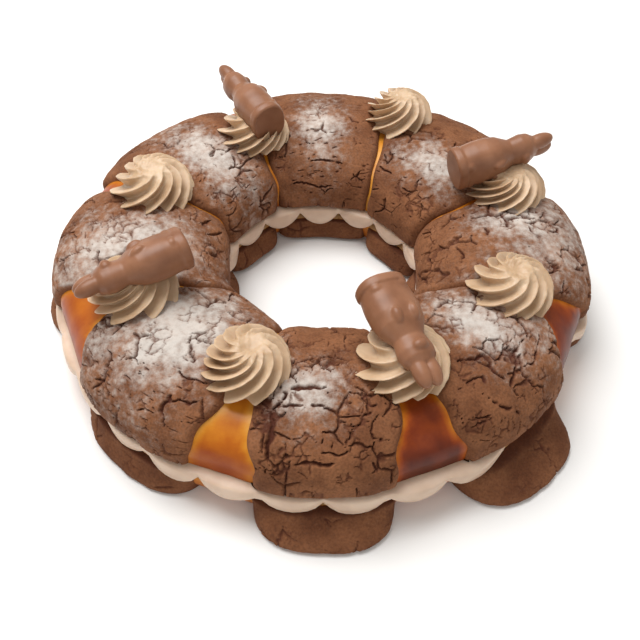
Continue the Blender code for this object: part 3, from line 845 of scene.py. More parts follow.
@dataclass
class PasteRelief:
    """What the oven did to the paste: a network of cracks, pits and a soft swelling between them."""

    grain: Grain
    tile: float = 12.0
    small_tile: float = 5.4
    crack_width: float = 0.85
    crack_depth: float = 1.6
    small_width: float = 0.55
    small_depth: float = 0.7
    pit_long: float = 4.2
    pit_wide: float = 1.5
    pit_depth: float = 0.8
    lump: float = 0.55
    tooth: float = 0.10

    def network(self, points: np.ndarray, openness: float) -> tuple[np.ndarray, np.ndarray]:
        """The cracks that follow no drawn line.

        Args:
            points: Places in millimetres.
            openness: 0 for a whole skin to 1 for one cracked all over.

        Returns:
            How deep in a crack each place is, from 0 to 1, and the relief in millimetres.
        """
        ragged = self.grain.wander(points, 6.0, 1.5)
        ragged = self.grain.wander(ragged, 1.9, 0.45)
        gate = smooth((self.grain.swells(points, 15.0) + openness - 0.45) / 0.35)
        width = self.crack_width * gate
        wide = np.clip(1 - self.grain.to_border(ragged, self.tile) / np.maximum(width, 1e-3), 0, 1)
        gate = smooth((self.grain.swells(points + 50.0, 10.0) + openness - 0.55) / 0.3)
        width = self.small_width * gate
        fine = np.clip(
            1 - self.grain.to_border(ragged + 9.0, self.small_tile) / np.maximum(width, 1e-3), 0, 1
        )
        inside = np.maximum(wide, 0.75 * fine)
        relief = -self.crack_depth * smooth(wide) ** 0.7 - self.small_depth * smooth(fine) ** 0.7
        return inside, relief

    def drawn(
        self, points: np.ndarray, lines: list[tuple[np.ndarray, Crack]]
    ) -> tuple[np.ndarray, np.ndarray]:
        """The cracks that follow a line.

        Args:
            points: Places in millimetres.
            lines: For each crack its points in space and its sizes.

        Returns:
            How deep in a crack each place is, from 0 to 1, and the relief in millimetres.
        """
        inside = np.zeros(len(points))
        relief = np.zeros(len(points))
        ragged = self.grain.wander(points, 4.0, 0.9)
        ragged = self.grain.wander(ragged, 1.5, 0.35)
        for line, crack in lines:
            steps = len(line) - 1
            for number in range(steps):
                start, run = line[number], line[number + 1] - line[number]
                along = np.clip(((ragged - start) @ run) / (run @ run), 0, 1)
                off = np.linalg.norm(ragged - start - along[:, None] * run, axis=1)
                share = (number + along) / steps
                width = crack.width * (0.35 + 0.65 * np.sin(math.pi * share) ** 0.6)
                deep = np.clip(1 - off / width, 0, 1)
                inside = np.maximum(inside, smooth(deep * 1.6))
                relief = np.minimum(relief, -crack.depth * smooth(deep * 1.3) ** 0.8)
        return inside, relief

    def pits(self, along_ring: np.ndarray, round_section: np.ndarray, spread: float) -> np.ndarray:
        """Short pits that the baking tore along the ring.

        Args:
            along_ring: Distance along the ring in millimetres.
            round_section: Distance round the section in millimetres.
            spread: 0 for hardly any pits to 1 for many.

        Returns:
            How deep in a pit each place is, from 0 to 1.
        """
        cells = np.stack([along_ring, round_section, np.zeros(along_ring.shape)], axis=-1)
        cells = cells / (self.pit_long, self.pit_wide, 1.0)
        return smooth((self.grain.swells(cells, 1.0) - 0.78 + 0.3 * spread) / 0.22)

    def surface(self, points: np.ndarray) -> np.ndarray:
        """The paste's own unevenness in millimetres."""
        lumps = self.lump * self.grain.layered(points, 13.0, 2)
        return lumps + self.tooth * self.grain.layered(points + 70.0, 1.7, 2)


DRAWN_CRACKS: dict[int, tuple[Crack, ...]] = {
    0: (
        Crack(((0.18, 0.48), (0.22, 0.44), (0.22, 0.42), (0.13, 0.38)), 1.1, 2.4),
        Crack(((0.13, 0.38), (0.16, 0.33), (0.17, 0.29), (0.15, 0.24), (0.11, 0.14)), 1.9, 2.6),
        Crack(((0.23, 0.20), (0.25, 0.15), (0.23, 0.12), (0.23, 0.04)), 0.9),
        Crack(((0.00, 0.42), (0.07, 0.41), (0.13, 0.38)), 1.0, 2.0),
        Crack(((0.14, 0.39), (0.23, 0.40), (0.32, 0.41), (0.48, 0.41), (0.57, 0.39)), 0.9),
        Crack(((0.29, 0.54), (0.43, 0.57), (0.59, 0.56), (0.69, 0.55)), 0.8),
        Crack(((0.26, 0.46), (0.38, 0.47), (0.51, 0.47)), 1.3, 1.6),
        Crack(((0.46, 0.52), (0.58, 0.52)), 0.8),
        Crack(((0.72, 0.47), (0.79, 0.45), (0.75, 0.43), (0.80, 0.40), (0.91, 0.40)), 0.9),
        Crack(((0.79, 0.45), (0.88, 0.46))),
        Crack(((0.79, 0.39), (0.73, 0.37), (0.66, 0.33)), 0.8),
        Crack(((0.81, 0.37), (0.77, 0.31), (0.81, 0.29), (0.91, 0.27)), 0.8),
        Crack(((0.32, 0.20), (0.42, 0.21), (0.52, 0.20), (0.57, 0.21)), 1.2, 1.8),
        Crack(((0.50, 0.25), (0.61, 0.24), (0.65, 0.25))),
        Crack(((0.54, 0.29), (0.55, 0.25)), 0.6),
        Crack(((0.59, 0.42), (0.67, 0.42)), 0.6),
        Crack(((0.62, 0.31), (0.64, 0.27)), 0.6),
        Crack(((0.82, 0.20), (0.85, 0.15)), 0.8),
    ),
    1: (
        Crack(
            ((0.76, 0.50), (0.77, 0.47), (0.78, 0.43), (0.77, 0.40), (0.75, 0.37), (0.66, 0.37)), 1.0, 2.0
        ),
        Crack(((0.66, 0.37), (0.58, 0.36), (0.52, 0.33), (0.43, 0.28), (0.47, 0.23)), 1.0, 1.8),
        Crack(((0.81, 0.34), (0.70, 0.30), (0.64, 0.29), (0.55, 0.31)), 0.8),
        Crack(((0.59, 0.27), (0.59, 0.23), (0.63, 0.19), (0.67, 0.10)), 0.8),
        Crack(((0.59, 0.19), (0.69, 0.19)), 0.6),
        Crack(((0.24, 0.45), (0.34, 0.43), (0.40, 0.42), (0.38, 0.38)), 1.4, 1.8),
        Crack(((0.33, 0.42), (0.37, 0.38), (0.38, 0.34), (0.41, 0.32)), 1.1),
        Crack(((0.18, 0.38), (0.24, 0.38), (0.29, 0.37), (0.27, 0.34)), 0.8),
        Crack(((0.25, 0.28), (0.31, 0.24), (0.40, 0.21), (0.43, 0.15)), 0.9),
        Crack(((0.10, 0.22), (0.16, 0.22), (0.23, 0.23)), 0.8),
        Crack(((0.42, 0.13), (0.38, 0.06)), 0.6),
        Crack(((0.30, 0.19), (0.25, 0.13)), 0.6),
        Crack(((0.55, 0.41), (0.50, 0.39), (0.54, 0.36))),
    ),
    2: (
        Crack(((0.74, 0.51), (0.65, 0.50), (0.57, 0.50)), 1.3, 1.8),
        Crack(((0.65, 0.45), (0.63, 0.44), (0.65, 0.42), (0.74, 0.37)), 0.9),
        Crack(((0.60, 0.44), (0.53, 0.44)), 1.0),
        Crack(((0.58, 0.38), (0.56, 0.34), (0.62, 0.32)), 0.8),
        Crack(((0.61, 0.57), (0.55, 0.56), (0.50, 0.56)), 0.9),
        Crack(((0.45, 0.67), (0.34, 0.65), (0.26, 0.65)), 0.9),
    ),
    3: (Crack(((0.94, 0.70), (0.77, 0.71)), 0.8),),
    4: (
        Crack(((0.85, 0.84), (0.71, 0.84), (0.59, 0.87), (0.47, 0.86)), 0.9),
        Crack(((0.64, 0.72), (0.50, 0.72), (0.37, 0.73), (0.29, 0.73)), 0.8),
        Crack(((0.27, 0.49), (0.22, 0.51), (0.17, 0.51)), 0.8),
    ),
    5: (Crack(((0.39, 0.58), (0.29, 0.57), (0.21, 0.58)), 0.8),),
    7: (
        Crack(((0.68, 0.40), (0.74, 0.39), (0.79, 0.40), (0.91, 0.41)), 0.9),
        Crack(((0.74, 0.32), (0.76, 0.30), (0.77, 0.25), (0.83, 0.19)), 1.0, 1.8),
        Crack(((0.76, 0.28), (0.79, 0.32), (0.86, 0.32), (0.90, 0.35)), 0.8),
        Crack(((0.21, 0.12), (0.29, 0.18), (0.33, 0.21)), 0.8),
        Crack(((0.50, 0.16), (0.46, 0.09), (0.45, 0.01)), 0.9),
        Crack(((0.63, 0.20), (0.68, 0.23), (0.75, 0.23)), 0.6),
        Crack(((0.79, 0.13), (0.80, 0.11)), 0.8),
    ),
}

DUSTINGS: tuple[Dusting, ...] = (
    Dusting(-132.0, 94.0, 24.0, 31.0, 0.95),
    Dusting(-93.5, 99.0, 17.0, 15.0, 0.72),
    Dusting(-39.5, 92.0, 14.0, 25.0, 0.85),
    Dusting(7.0, 98.0, 17.0, 21.0, 0.82),
    Dusting(43.5, 80.0, 22.0, 13.0, 0.70),
    Dusting(92.5, 86.0, 13.0, 24.0, 0.75),
    Dusting(138.5, 86.0, 16.0, 33.0, 0.78),
    Dusting(190.0, 97.0, 23.0, 34.0, 0.80),
    Dusting(-146.0, 112.0, 40.0, 30.0, 0.50),
    Dusting(196.0, 116.0, 42.0, 26.0, 0.50),
    Dusting(4.0, 112.0, 42.0, 30.0, 0.52),
    Dusting(-30.0, 104.0, 26.0, 34.0, 0.36),
)


@dataclass
class CocoaPanels:
    """The eight panels of paste over the upper half."""

    form: LoafForm
    relief: PasteRelief
    coarse: tuple[int, int] = (15, 30)
    cuts: int = 8
    phi_low: float = -9.0
    phi_high: float = 189.0
    rim: float = 3.4  # how far in from its rim a panel is rounded, mm
    lip: float = 2.6  # the same at the knife cut
    lip_share: float = 0.75  # thickness left at the knife cut
    level: float = 0.045  # about the share of a panel, at each end, that lies level with the knife cut
    fraying: float = 0.28  # how unevenly a rim ends, mm
    dense_share: float = 0.62  # how much of a sugar patch lies in its dense middle
    thin_share: float = 0.38  # and how much in its thin surround
    tuck: float = 0.9  # how far a rim ends under the crust, mm
    under: float = 1.3  # how far the underside lies under the crust, mm
    openness: tuple[float, ...] = (0.46, 0.50, 0.42, 0.32, 0.22, 0.26, 0.30, 0.34)
    pitted: tuple[float, ...] = (0.30, 0.35, 0.55, 0.80, 0.90, 0.80, 0.80, 0.80)

    def _place(
        self, index: int, across: np.ndarray, along: np.ndarray
    ) -> tuple[np.ndarray, np.ndarray, np.ndarray]:
        """Azimuth, section angle and the panel's width in millimetres at shares across and along."""
        phi = self.phi_low + (self.phi_high - self.phi_low) * along
        start, end = self.form.panel_span(index, phi)
        theta = start + (end - start) * across
        reach = self.form.ring_radius + self.form.half_width * np.cos(np.radians(phi))
        return theta, phi, np.radians(end - start) * reach

    def _lines(self, index: int) -> list[tuple[np.ndarray, Crack]]:
        """A panel's drawn cracks in space."""
        lines = []
        for crack in DRAWN_CRACKS.get(index, ()):
            shares = np.array(crack.path)
            theta, phi, _ = self._place(index, shares[:, 0], shares[:, 1])
            height = self.form.paste_height(shares[:, 0])
            lines.append((self.form.dough_point(theta, phi, height), crack))
        return lines

    def sugar(self, points: np.ndarray, inside: np.ndarray) -> np.ndarray:
        """How much icing sugar lies at each place, from 0 to 1."""
        theta = np.degrees(np.arctan2(points[:, 1], points[:, 0]))
        radius = np.hypot(points[:, 0], points[:, 1])
        total = np.zeros(len(points))
        drift = 0.30 * self.relief.grain.layered(points + 200.0, 9.0, 3)
        for patch in DUSTINGS:
            turn = (theta - patch.azimuth + 180) % 360 - 180
            aside = np.radians(turn) * radius / patch.across
            off = np.hypot(aside, (radius - patch.radius) / patch.along) + drift
            dense, thin = smooth((1.25 - off) / 1.15), smooth((2.2 - off) / 1.8)
            cover = patch.cover * (self.dense_share * dense + self.thin_share * thin)
            total = np.maximum(total, cover)
        specks = 0.25 * self.relief.grain.layered(points + 300.0, 3.0, 2)
        return np.clip(total + specks * smooth(total / 0.2), 0, 1) * (1 - 0.9 * inside)

    def _build_one(self, index: int, paste: bpy.types.Material) -> None:
        """Makes one panel."""
        slab = add_slab(*self.coarse, self.cuts)
        shares = points_of(slab.data)
        across, along = shares[:, 0] + 0.5, shares[:, 1] + 0.5
        top = shares[:, 2] > 0.5
        theta, phi, width = self._place(index, across, along)
        rim_gap = np.minimum(across, 1 - across) * width
        cut = self.form.upper_cut + self.form.gap
        thick = self.form.paste_height(across)
        skin = self.form.dough_point(theta, phi, thick)
        above_cut = np.maximum(skin[:, 2] - cut, 0.0)
        skin[:, 2] = cut + above_cut
        inside, relief = self.relief.network(skin, self.openness[index])
        drawn_inside, drawn_relief = self.relief.drawn(skin, self._lines(index))
        arc = np.radians(theta) * np.hypot(skin[:, 0], skin[:, 1])
        section = np.clip(along, self.level, 1 - self.level) * math.pi * self.form.half_width
        pits = self.relief.pits(arc, section, self.pitted[index])
        inside = np.maximum.reduce([inside, drawn_inside, 0.8 * pits])
        relief = np.minimum.reduce([relief, drawn_relief, -self.relief.pit_depth * pits])
        relief = relief + self.relief.surface(skin)
        frayed = rim_gap + self.fraying * self.relief.grain.layered(skin, 5.0, 2) * smooth(rim_gap / 1.5)
        rise = quarter_round(frayed / self.rim)
        lip = self.lip_share + (1 - self.lip_share) * quarter_round(above_cut / self.lip)
        held = smooth(rim_gap / 2.0)
        lift = -self.tuck + np.maximum(thick * lip + relief * held + self.tuck, 0.0) * rise
        lift = np.where(top, lift, -self.under)
        points = self.form.dough_point(theta, phi, lift)
        points[:, 2] = np.maximum(points[:, 2], cut)
        set_points(slab.data, points)
        set_shade(slab.data, "crack", inside * held * top)
        set_shade(slab.data, "sugar", self.sugar(points, inside) * smooth(rim_gap / 3.0) * top)
        face_outwards(slab)
        dress(slab, f"panel_{index + 1}", [paste])

    def build(self, paste: bpy.types.Material) -> None:
        """Makes every panel.

        Args:
            paste: Their finish.
        """
        for index in range(len(self.form.seams)):
            self._build_one(index, paste)


@dataclass
class PasteFeet:
    """The paste that ran down both walls of the lower half."""

    form: LoafForm
    relief: PasteRelief
    reach: tuple[float, ...] = (147.5, 152.0, 141.0, 146.0, 146.0, 146.0, 143.0, 140.5)
    top_thickness: float = 2.1
    overhang: float = 0.5
    corner: float = 3.2
    side: float = 9.0
    plump: float = 0.5  # 0 for a foot that slopes out, 1 for one as round as a bun
    shade_and_burn: float = 0.8  # how dark the upper edge is, from 0 to 1: painted shade under the cream, with some darker-baked paste
    dull: float = 0.22  # how dark the rest is, from 0 to 1: painted shade, as the foot lies under the loaf
    openness: float = 0.28  # how cracked it is, from 0 to 1
    crack_share: float = 0.6  # depth of its cracks over those of a panel
    lump_share: float = 1.2  # height of its lumps over those of a panel
    inner_reach: tuple[float, ...] = (47.0, 46.0, 44.0, 45.0, 49.0, 46.0, 44.0, 45.0)
    inner_thickness: float = 1.6
    inner_inset: float = 1.0
    inner_lift: float = 2.0

    def _side(self, across: np.ndarray) -> np.ndarray:
        """1 along the middle of a foot and 0 at its two sides, with round corners."""
        return np.sqrt(np.maximum(1 - np.abs(2 * across - 1) ** self.corner, 0.0))

    def _flare(self, along: np.ndarray) -> np.ndarray:
        """How far a foot has spread at a share of the way down it; it tucks in a little at the table."""
        slope = smooth((along - 0.1) / 0.75)
        spread = (1 - self.plump) * slope + self.plump * quarter_round(along / 0.9)
        return spread - 0.10 * smooth((along - 0.85) / 0.15)

    def _outer(self, index: int, across: np.ndarray, along: np.ndarray, top: np.ndarray) -> np.ndarray:
        """Points of an outer foot."""
        form = self.form
        level = np.zeros(across.shape)
        start, end = form.panel_span(index, level)
        theta = start - self.overhang + (end - start + 2 * self.overhang) * across
        height = (form.lower_cut - form.gap) * (1 - along)
        skin = np.hypot(*form.dough_point(theta, level)[:, :2].T)
        upper = skin + self.top_thickness
        radius = upper + (self.reach[index] - upper) * self._flare(along)
        narrow = skin - self.side * along
        radius = narrow + (radius - narrow) * self._side(across)
        radius = np.where(top, radius, form.ring_radius + 12 + 10 * (1 - along))
        return polar(radius, theta, height)

    def _inner(self, index: int, across: np.ndarray, along: np.ndarray, top: np.ndarray) -> np.ndarray:
        """Points of an inner foot."""
        form = self.form
        level = np.full(across.shape, 180.0)
        start, end = form.panel_span(index, level)
        theta = start + self.inner_inset + (end - start - 2 * self.inner_inset) * across
        height = self.inner_lift + (form.lower_cut - form.gap - self.inner_lift) * (1 - along)
        skin = np.hypot(*form.dough_point(theta, level)[:, :2].T)
        upper = skin - self.inner_thickness
        radius = upper - (upper - self.inner_reach[index]) * self._flare(along)
        narrow = skin + self.inner_thickness
        radius = narrow - (narrow - radius) * self._side(across)
        radius = np.where(top, radius, skin + 9)
        return polar(radius, theta, height)

    def _build_one(
        self,
        node: str,
        coarse: tuple[int, int],
        place: Callable[[np.ndarray, np.ndarray, np.ndarray], np.ndarray],
        outward: float,
        paste: bpy.types.Material,
    ) -> None:
        """Makes one foot.

        Args:
            node: The CAD node that it stands for.
            coarse: Coarse squares across and along.
            place: Gives its points from shares across and along, and whether each is on the outside.
            outward: 1 for the outer wall and -1 for the wall of the hole.
            paste: Its finish.
        """
        slab = add_slab(*coarse, 7)
        shares = points_of(slab.data)
        across, along = shares[:, 0] + 0.5, shares[:, 1] + 0.5
        top = shares[:, 2] > 0.5
        points = place(across, along, top)
        inside, relief = self.relief.network(points, self.openness)
        relief = relief * self.crack_share + self.lump_share * self.relief.surface(points)
        edge = np.minimum(along, 1 - along)
        held = smooth(np.minimum(across, 1 - across) / 0.08) * smooth(edge / 0.12) * top
        away = points[:, :2] / np.linalg.norm(points[:, :2], axis=1, keepdims=True)
        points[:, :2] += away * (relief * held * outward)[:, None]
        set_points(slab.data, points)
        # Painted shade: a dark band along the upper edge under the cream, with some darker-baked paste in
        # it, and a lighter painted shade over the rest of the foot; both go in through the crack attribute.
        shade_and_burn = self.shade_and_burn * (1 - smooth(along / 0.16 + 0.25 * self.relief.grain.swells(points, 4.0)))
        set_shade(slab.data, "crack", np.maximum(np.maximum(inside * held, shade_and_burn), self.dull))
        set_shade(slab.data, "sugar", np.zeros(len(points)))
        face_outwards(slab)
        dress(slab, node, [paste])

    def build(self, paste: bpy.types.Material) -> None:
        """Makes the feet of both walls.

        Args:
            paste: Their finish.
        """
        for index in range(len(self.form.seams)):

            def outer(across: np.ndarray, along: np.ndarray, top: np.ndarray) -> np.ndarray:
                """Points of this outer foot."""
                return self._outer(index, across, along, top)

            def inner(across: np.ndarray, along: np.ndarray, top: np.ndarray) -> np.ndarray:
                """Points of this inner foot."""
                return self._inner(index, across, along, top)

            self._build_one(f"foot_{index + 1}", (14, 6), outer, 1.0, paste)
            self._build_one(f"inner_foot_{index + 1}", (8, 4), inner, -1.0, paste)


# ---- the cream ----


@dataclass
class CreamLayer:
    """The cream between the halves: mounds piped side by side, seen at the outer wall and in the hole."""

    form: LoafForm
    outer_mounds: tuple[int, float] = (30, 0.375)  # how many round the ring, and where the first starts
    inner_mounds: tuple[int, float] = (15, 0.625)
    reach: float = 44.0
    bulge: float = 2.6
    droop: float = 7.0
    hang: float = 4.8  # how far a full mound sags below the lower half's cut, mm
    shy: float = 0.5  # how much less the mounds in the hole stand out, mm
    # Where the outer wall keeps back: its middle and half width in degrees, and how far in millimetres.
    hidden: tuple[float, float, float] = (-33.0, 20.0, 5.5)
    uneven: float = 0.22  # share by which one mound may be smaller than the next
    mound_power: float = 0.62  # lower makes a mound fuller and its valleys narrower
    boxy: float = 0.42
    boxy_top: float = 0.20
    section: int = 44
    grain: Grain = field(default_factory=lambda: Grain(11))

    def _mound(self, theta: np.ndarray, row: tuple[int, float]) -> np.ndarray:
        """1 at the middle of a full mound and 0 between two."""
        count, start = row
        place = theta * count / 360 + start
        sizes = [1 - self.uneven * random.Random(1000 * count + number).random() for number in range(count)]
        size = np.array(sizes)[np.floor(place).astype(int) % count]
        return size * np.abs(np.sin(math.pi * place)) ** self.mound_power

    def build(self, cream: bpy.types.Material) -> None:
        """Makes the layer.

        Args:
            cream: Its finish.
        """
        form = self.form
        deselect_all()
        bpy.ops.mesh.primitive_torus_add(
            major_segments=self.outer_mounds[0] * 24,
            minor_segments=self.section,
            major_radius=form.ring_radius * MM,
            minor_radius=self.reach * MM,
        )
        layer = bpy.context.object
        points = points_of(layer.data) / MM
        theta = np.degrees(np.arctan2(points[:, 1], points[:, 0]))
        outward = np.hypot(points[:, 0], points[:, 1]) - form.ring_radius
        phi = np.arctan2(points[:, 2], outward)
        cosine, sine = np.cos(phi), np.sin(phi)
        fullness = np.where(
            cosine > 0, self._mound(theta, self.outer_mounds), self._mound(theta, self.inner_mounds)
        )
        middle, span, back = self.hidden
        kept = smooth((span - np.abs(theta - middle)) / 6) * (cosine > 0)
        fullness = fullness * (1 - kept)
        reach = self.reach - self.bulge * (1 - fullness) - np.where(cosine > 0, back * kept, self.shy)
        across = power(cosine, self.boxy)
        edge = smooth((np.abs(across) - 0.76) / 0.24)
        top, bottom = form.upper_cut - form.gap, form.lower_cut + form.gap
        low = bottom + self.droop * (1 - fullness) * (1 - kept) * edge - self.hang * fullness * edge**4
        square = np.where(sine > 0, self.boxy_top, self.boxy)
        height = (top + low) / 2 + (top - low) / 2 * power(sine, square)
        soft = 0.25 * self.grain.layered(points, 8.0, 2)
        set_points(layer.data, polar(form.ring_radius + (reach + soft) * across, theta, height))
        face_outwards(layer)
        dress(layer, "cream_filling", [cream])


@dataclass(frozen=True)
class Swirl:
    """A rosette: azimuth, distance from the axis, diameter, height and the turn of its first ridge."""

    azimuth: float
    distance: float
    diameter: float
    height: float
    turn: float


@dataclass(frozen=True)
class Lying:
    """A rabbit: its rosette, the middle of its base, the tips of its ears, and its roll from belly up."""

    rosette: int
    base: tuple[float, float, float]
    tip: tuple[float, float, float]
    roll: float

    def matrix(self) -> Matrix:
        """From the standing rabbit in millimetres to its place in millimetres."""
        low, high = Vector(self.base), Vector(self.tip)
        length = (high - low).normalized()
        belly = (Vector((0, 0, 1)) - length * length.z).normalized()
        belly = Matrix.Rotation(math.radians(self.roll), 3, length) @ belly
        turn = Matrix((belly.cross(length), belly, length)).transposed().to_4x4()
        return Matrix.Translation(low) @ turn


RABBITS: tuple[Lying, ...] = (
    Lying(1, (24.3, -55.5, 74.0), (47.4, -104.3, 65.0), -10),
    Lying(3, (64.8, 34.3, 66.0), (116.6, 51.7, 74.0), 100),
    Lying(5, (-30.4, 67.2, 66.0), (-60.8, 113.2, 68.0), 80),
    Lying(7, (-62.5, -33.2, 72.0), (-111.5, -60.4, 66.0), 25),
)


RABBIT_FLATNESS = 0.82  # thickness of a rabbit over its width
RABBIT_BODY: tuple[tuple[float, float], ...] = (  # half width and height of the moulded body and head, mm
    (10.7, 0.0),
    (11.5, 0.9),
    (11.7, 4.1),
    (10.9, 5.0),
    (11.1, 6.7),
    (11.7, 11.6),
    (11.7, 17.8),
    (10.7, 23.6),
    (8.4, 28.0),
    (7.3, 30.4),
    (7.9, 32.9),
    (8.6, 36.5),
    (8.0, 40.5),
    (5.7, 43.6),
    (1.8, 45.0),
)


@dataclass
class Rosettes:
    """The swirls of cream over the seams, piped with a star tip."""

    form: LoafForm
    swirls: tuple[Swirl, ...] = (
        Swirl(-109.8, 91.8, 41, 17, 10),
        Swirl(-66.8, 88.7, 43, 15, 50),
        Swirl(-22.3, 94.3, 41, 16, 25),
        Swirl(21.0, 99.5, 41, 15, 70),
        Swirl(67.7, 102.6, 37, 17, 0),
        Swirl(117.9, 87.2, 40, 15, 40),
        Swirl(162.9, 94.1, 43, 17, 15),
        Swirl(206.4, 97.8, 43, 15, 60),
    )
    ridges: int = 11
    columns: int = 18  # points across one ridge
    rings: int = 88
    depths: tuple[tuple[float, float], ...] = (  # share of the way to the tip, and how deep a valley is
        (0.0, 0.26),
        (0.35, 0.36),
        (0.6, 0.26),
        (0.8, 0.14),
        (1.0, 0.04),
    )
    skew: float = 4.4  # degrees by which one flank of a ridge is steeper
    unlike: float = 0.12  # share by which one ridge stands out of the next
    drop: float = 0.16  # how far a valley lies under its ridges, as a share of the height
    twist: float = 125.0
    sink: float = 7.0
    lean: float = 0.06  # how far the tip stands off the middle, as a share of the diameter
    hook: tuple[float, float] = (2.2, 215.0)  # how far and where to the last of the cream is drawn, mm
    press: float = 0.2  # how far the cream stands off a rabbit, mm
    grain: Grain = field(default_factory=lambda: Grain(23))

    def _profile(self, level: np.ndarray, radius: float, height: float) -> tuple[np.ndarray, np.ndarray]:
        """Radius and height at levels from 0, the buried foot, to 1, the tip."""
        foot = level < 0.2
        share = np.where(foot, level / 0.2, (level - 0.2) / 0.8)
        wide = np.where(foot, radius * (0.55 + 0.40 * share), radius * np.cos(share * math.pi / 2) ** 0.8)
        rise = np.where(foot, -self.sink * (1 - share), height * np.sin(share * math.pi / 2) ** 1.05)
        return wide, rise

    def _build_one(self, index: int, cream: bpy.types.Material) -> None:
        """Makes one rosette."""
        swirl = self.swirls[index]
        deselect_all()
        bpy.ops.mesh.primitive_uv_sphere_add(
            segments=self.ridges * self.columns, ring_count=self.rings, radius=1.0
        )
        dome = bpy.context.object
        unit = points_of(dome.data)
        level = 1 - np.arccos(np.clip(unit[:, 2], -1, 1)) / math.pi
        turn = np.degrees(np.arctan2(unit[:, 1], unit[:, 0]))
        skewed = turn + self.skew * np.sin(np.radians(self.ridges * turn))
        valley = 1 - np.abs(np.cos(np.radians(skewed * self.ridges / 2))) ** 1.2
        wide, rise = self._profile(level, swirl.diameter / 2, swirl.height)
        share = np.clip((level - 0.2) / 0.8, 0, 1)
        depth = np.interp(share, *np.array(self.depths).T)
        number = np.round(turn * self.ridges / 360).astype(int) % self.ridges
        sizes = np.random.default_rng(index).random(self.ridges)[number] - 0.5
        wide = wide * (1 - depth * valley * smooth(level / 0.2)) * (1 + self.unlike * sizes * (1 - valley))
        drop = self.drop * swirl.height * smooth(share / 0.3) * (1 - smooth((share - 0.5) / 0.35))
        rise = rise - drop * valley
        pole = np.hypot(unit[:, 0], unit[:, 1]) < 1e-4
        wide = np.where(pole, 0.0, wide)
        packed = turn + 16 * np.sin(np.radians(turn - 175 - swirl.azimuth - swirl.turn))
        swept = packed + self.twist * share**1.1 + swirl.turn + swirl.azimuth
        points = polar(wide, swept, rise)
        points[:, 0] += self.lean * swirl.diameter * level
        reach, heading = self.hook
        drawn = reach * smooth((share - 0.82) / 0.18)
        points += polar(drawn, np.full(1, heading), -0.5 * drawn)
        towards_tip = 0.5 + 0.5 * smooth((share - 0.55) / 0.3)
        soft = self.grain.layered(points + 40.0 * index, 6.0, 3) * towards_tip
        soft = soft * smooth(level / 0.3)
        points *= (1 + soft / (swirl.diameter / 2))[:, None]
        azimuth = np.full(1, swirl.azimuth)
        crown = self.form.dough_point(azimuth, np.full(1, 90.0), self.form.paste * self.form.paste_rim)
        points += polar(np.full(1, swirl.distance), azimuth, crown[:, 2])
        for rabbit in RABBITS:
            if rabbit.rosette == index:
                points = self._press(points, rabbit)
        set_points(dome.data, points)
        face_outwards(dome)
        dress(dome, f"rosette_{index + 1}", [cream], sharp=80)

    def _press(self, points: np.ndarray, rabbit: Lying) -> np.ndarray:
        """Pushes the cream down under a rabbit that lies in it."""
        inverse = np.array(rabbit.matrix().inverted())
        local = points @ inverse[:3, :3].T + inverse[:3, 3]
        down = inverse[:3, :3] @ (0.0, 0.0, -1.0)
        radii, heights = np.array(RABBIT_BODY).T
        wide = np.interp(local[:, 2], heights, radii) + self.press
        deep = wide * RABBIT_FLATNESS
        a = (down[0] / wide) ** 2 + (down[1] / deep) ** 2
        b = local[:, 0] * down[0] / wide**2 + local[:, 1] * down[1] / deep**2
        c = (local[:, 0] / wide) ** 2 + (local[:, 1] / deep) ** 2 - 1
        out = (np.sqrt(np.maximum(b * b - a * c, 0.0)) - b) / a
        beside = (b * b > a * c) & (out > 0)
        length = smooth((local[:, 2] + 1.0) / 1.0) * smooth((heights[-1] + 8.0 - local[:, 2]) / 4.0)
        pushed = points.copy()
        pushed[:, 2] -= np.where(beside, out, 0.0) * length
        return pushed

    def build(self, cream: bpy.types.Material) -> None:
        """Makes every rosette.

        Args:
            cream: Their finish.
        """
        for index in range(len(self.swirls)):
            self._build_one(index, cream)


# ---- the rabbits ----


@dataclass(frozen=True)
class Bump:
    """An ellipsoid of a rabbit standing on its base: its centre and half sizes in millimetres, and its
    turns about X (tilt) and Y (sway) in degrees."""

    centre: tuple[float, float, float]
    radii: tuple[float, float, float]
    tilt: float = 0.0
    sway: float = 0.0


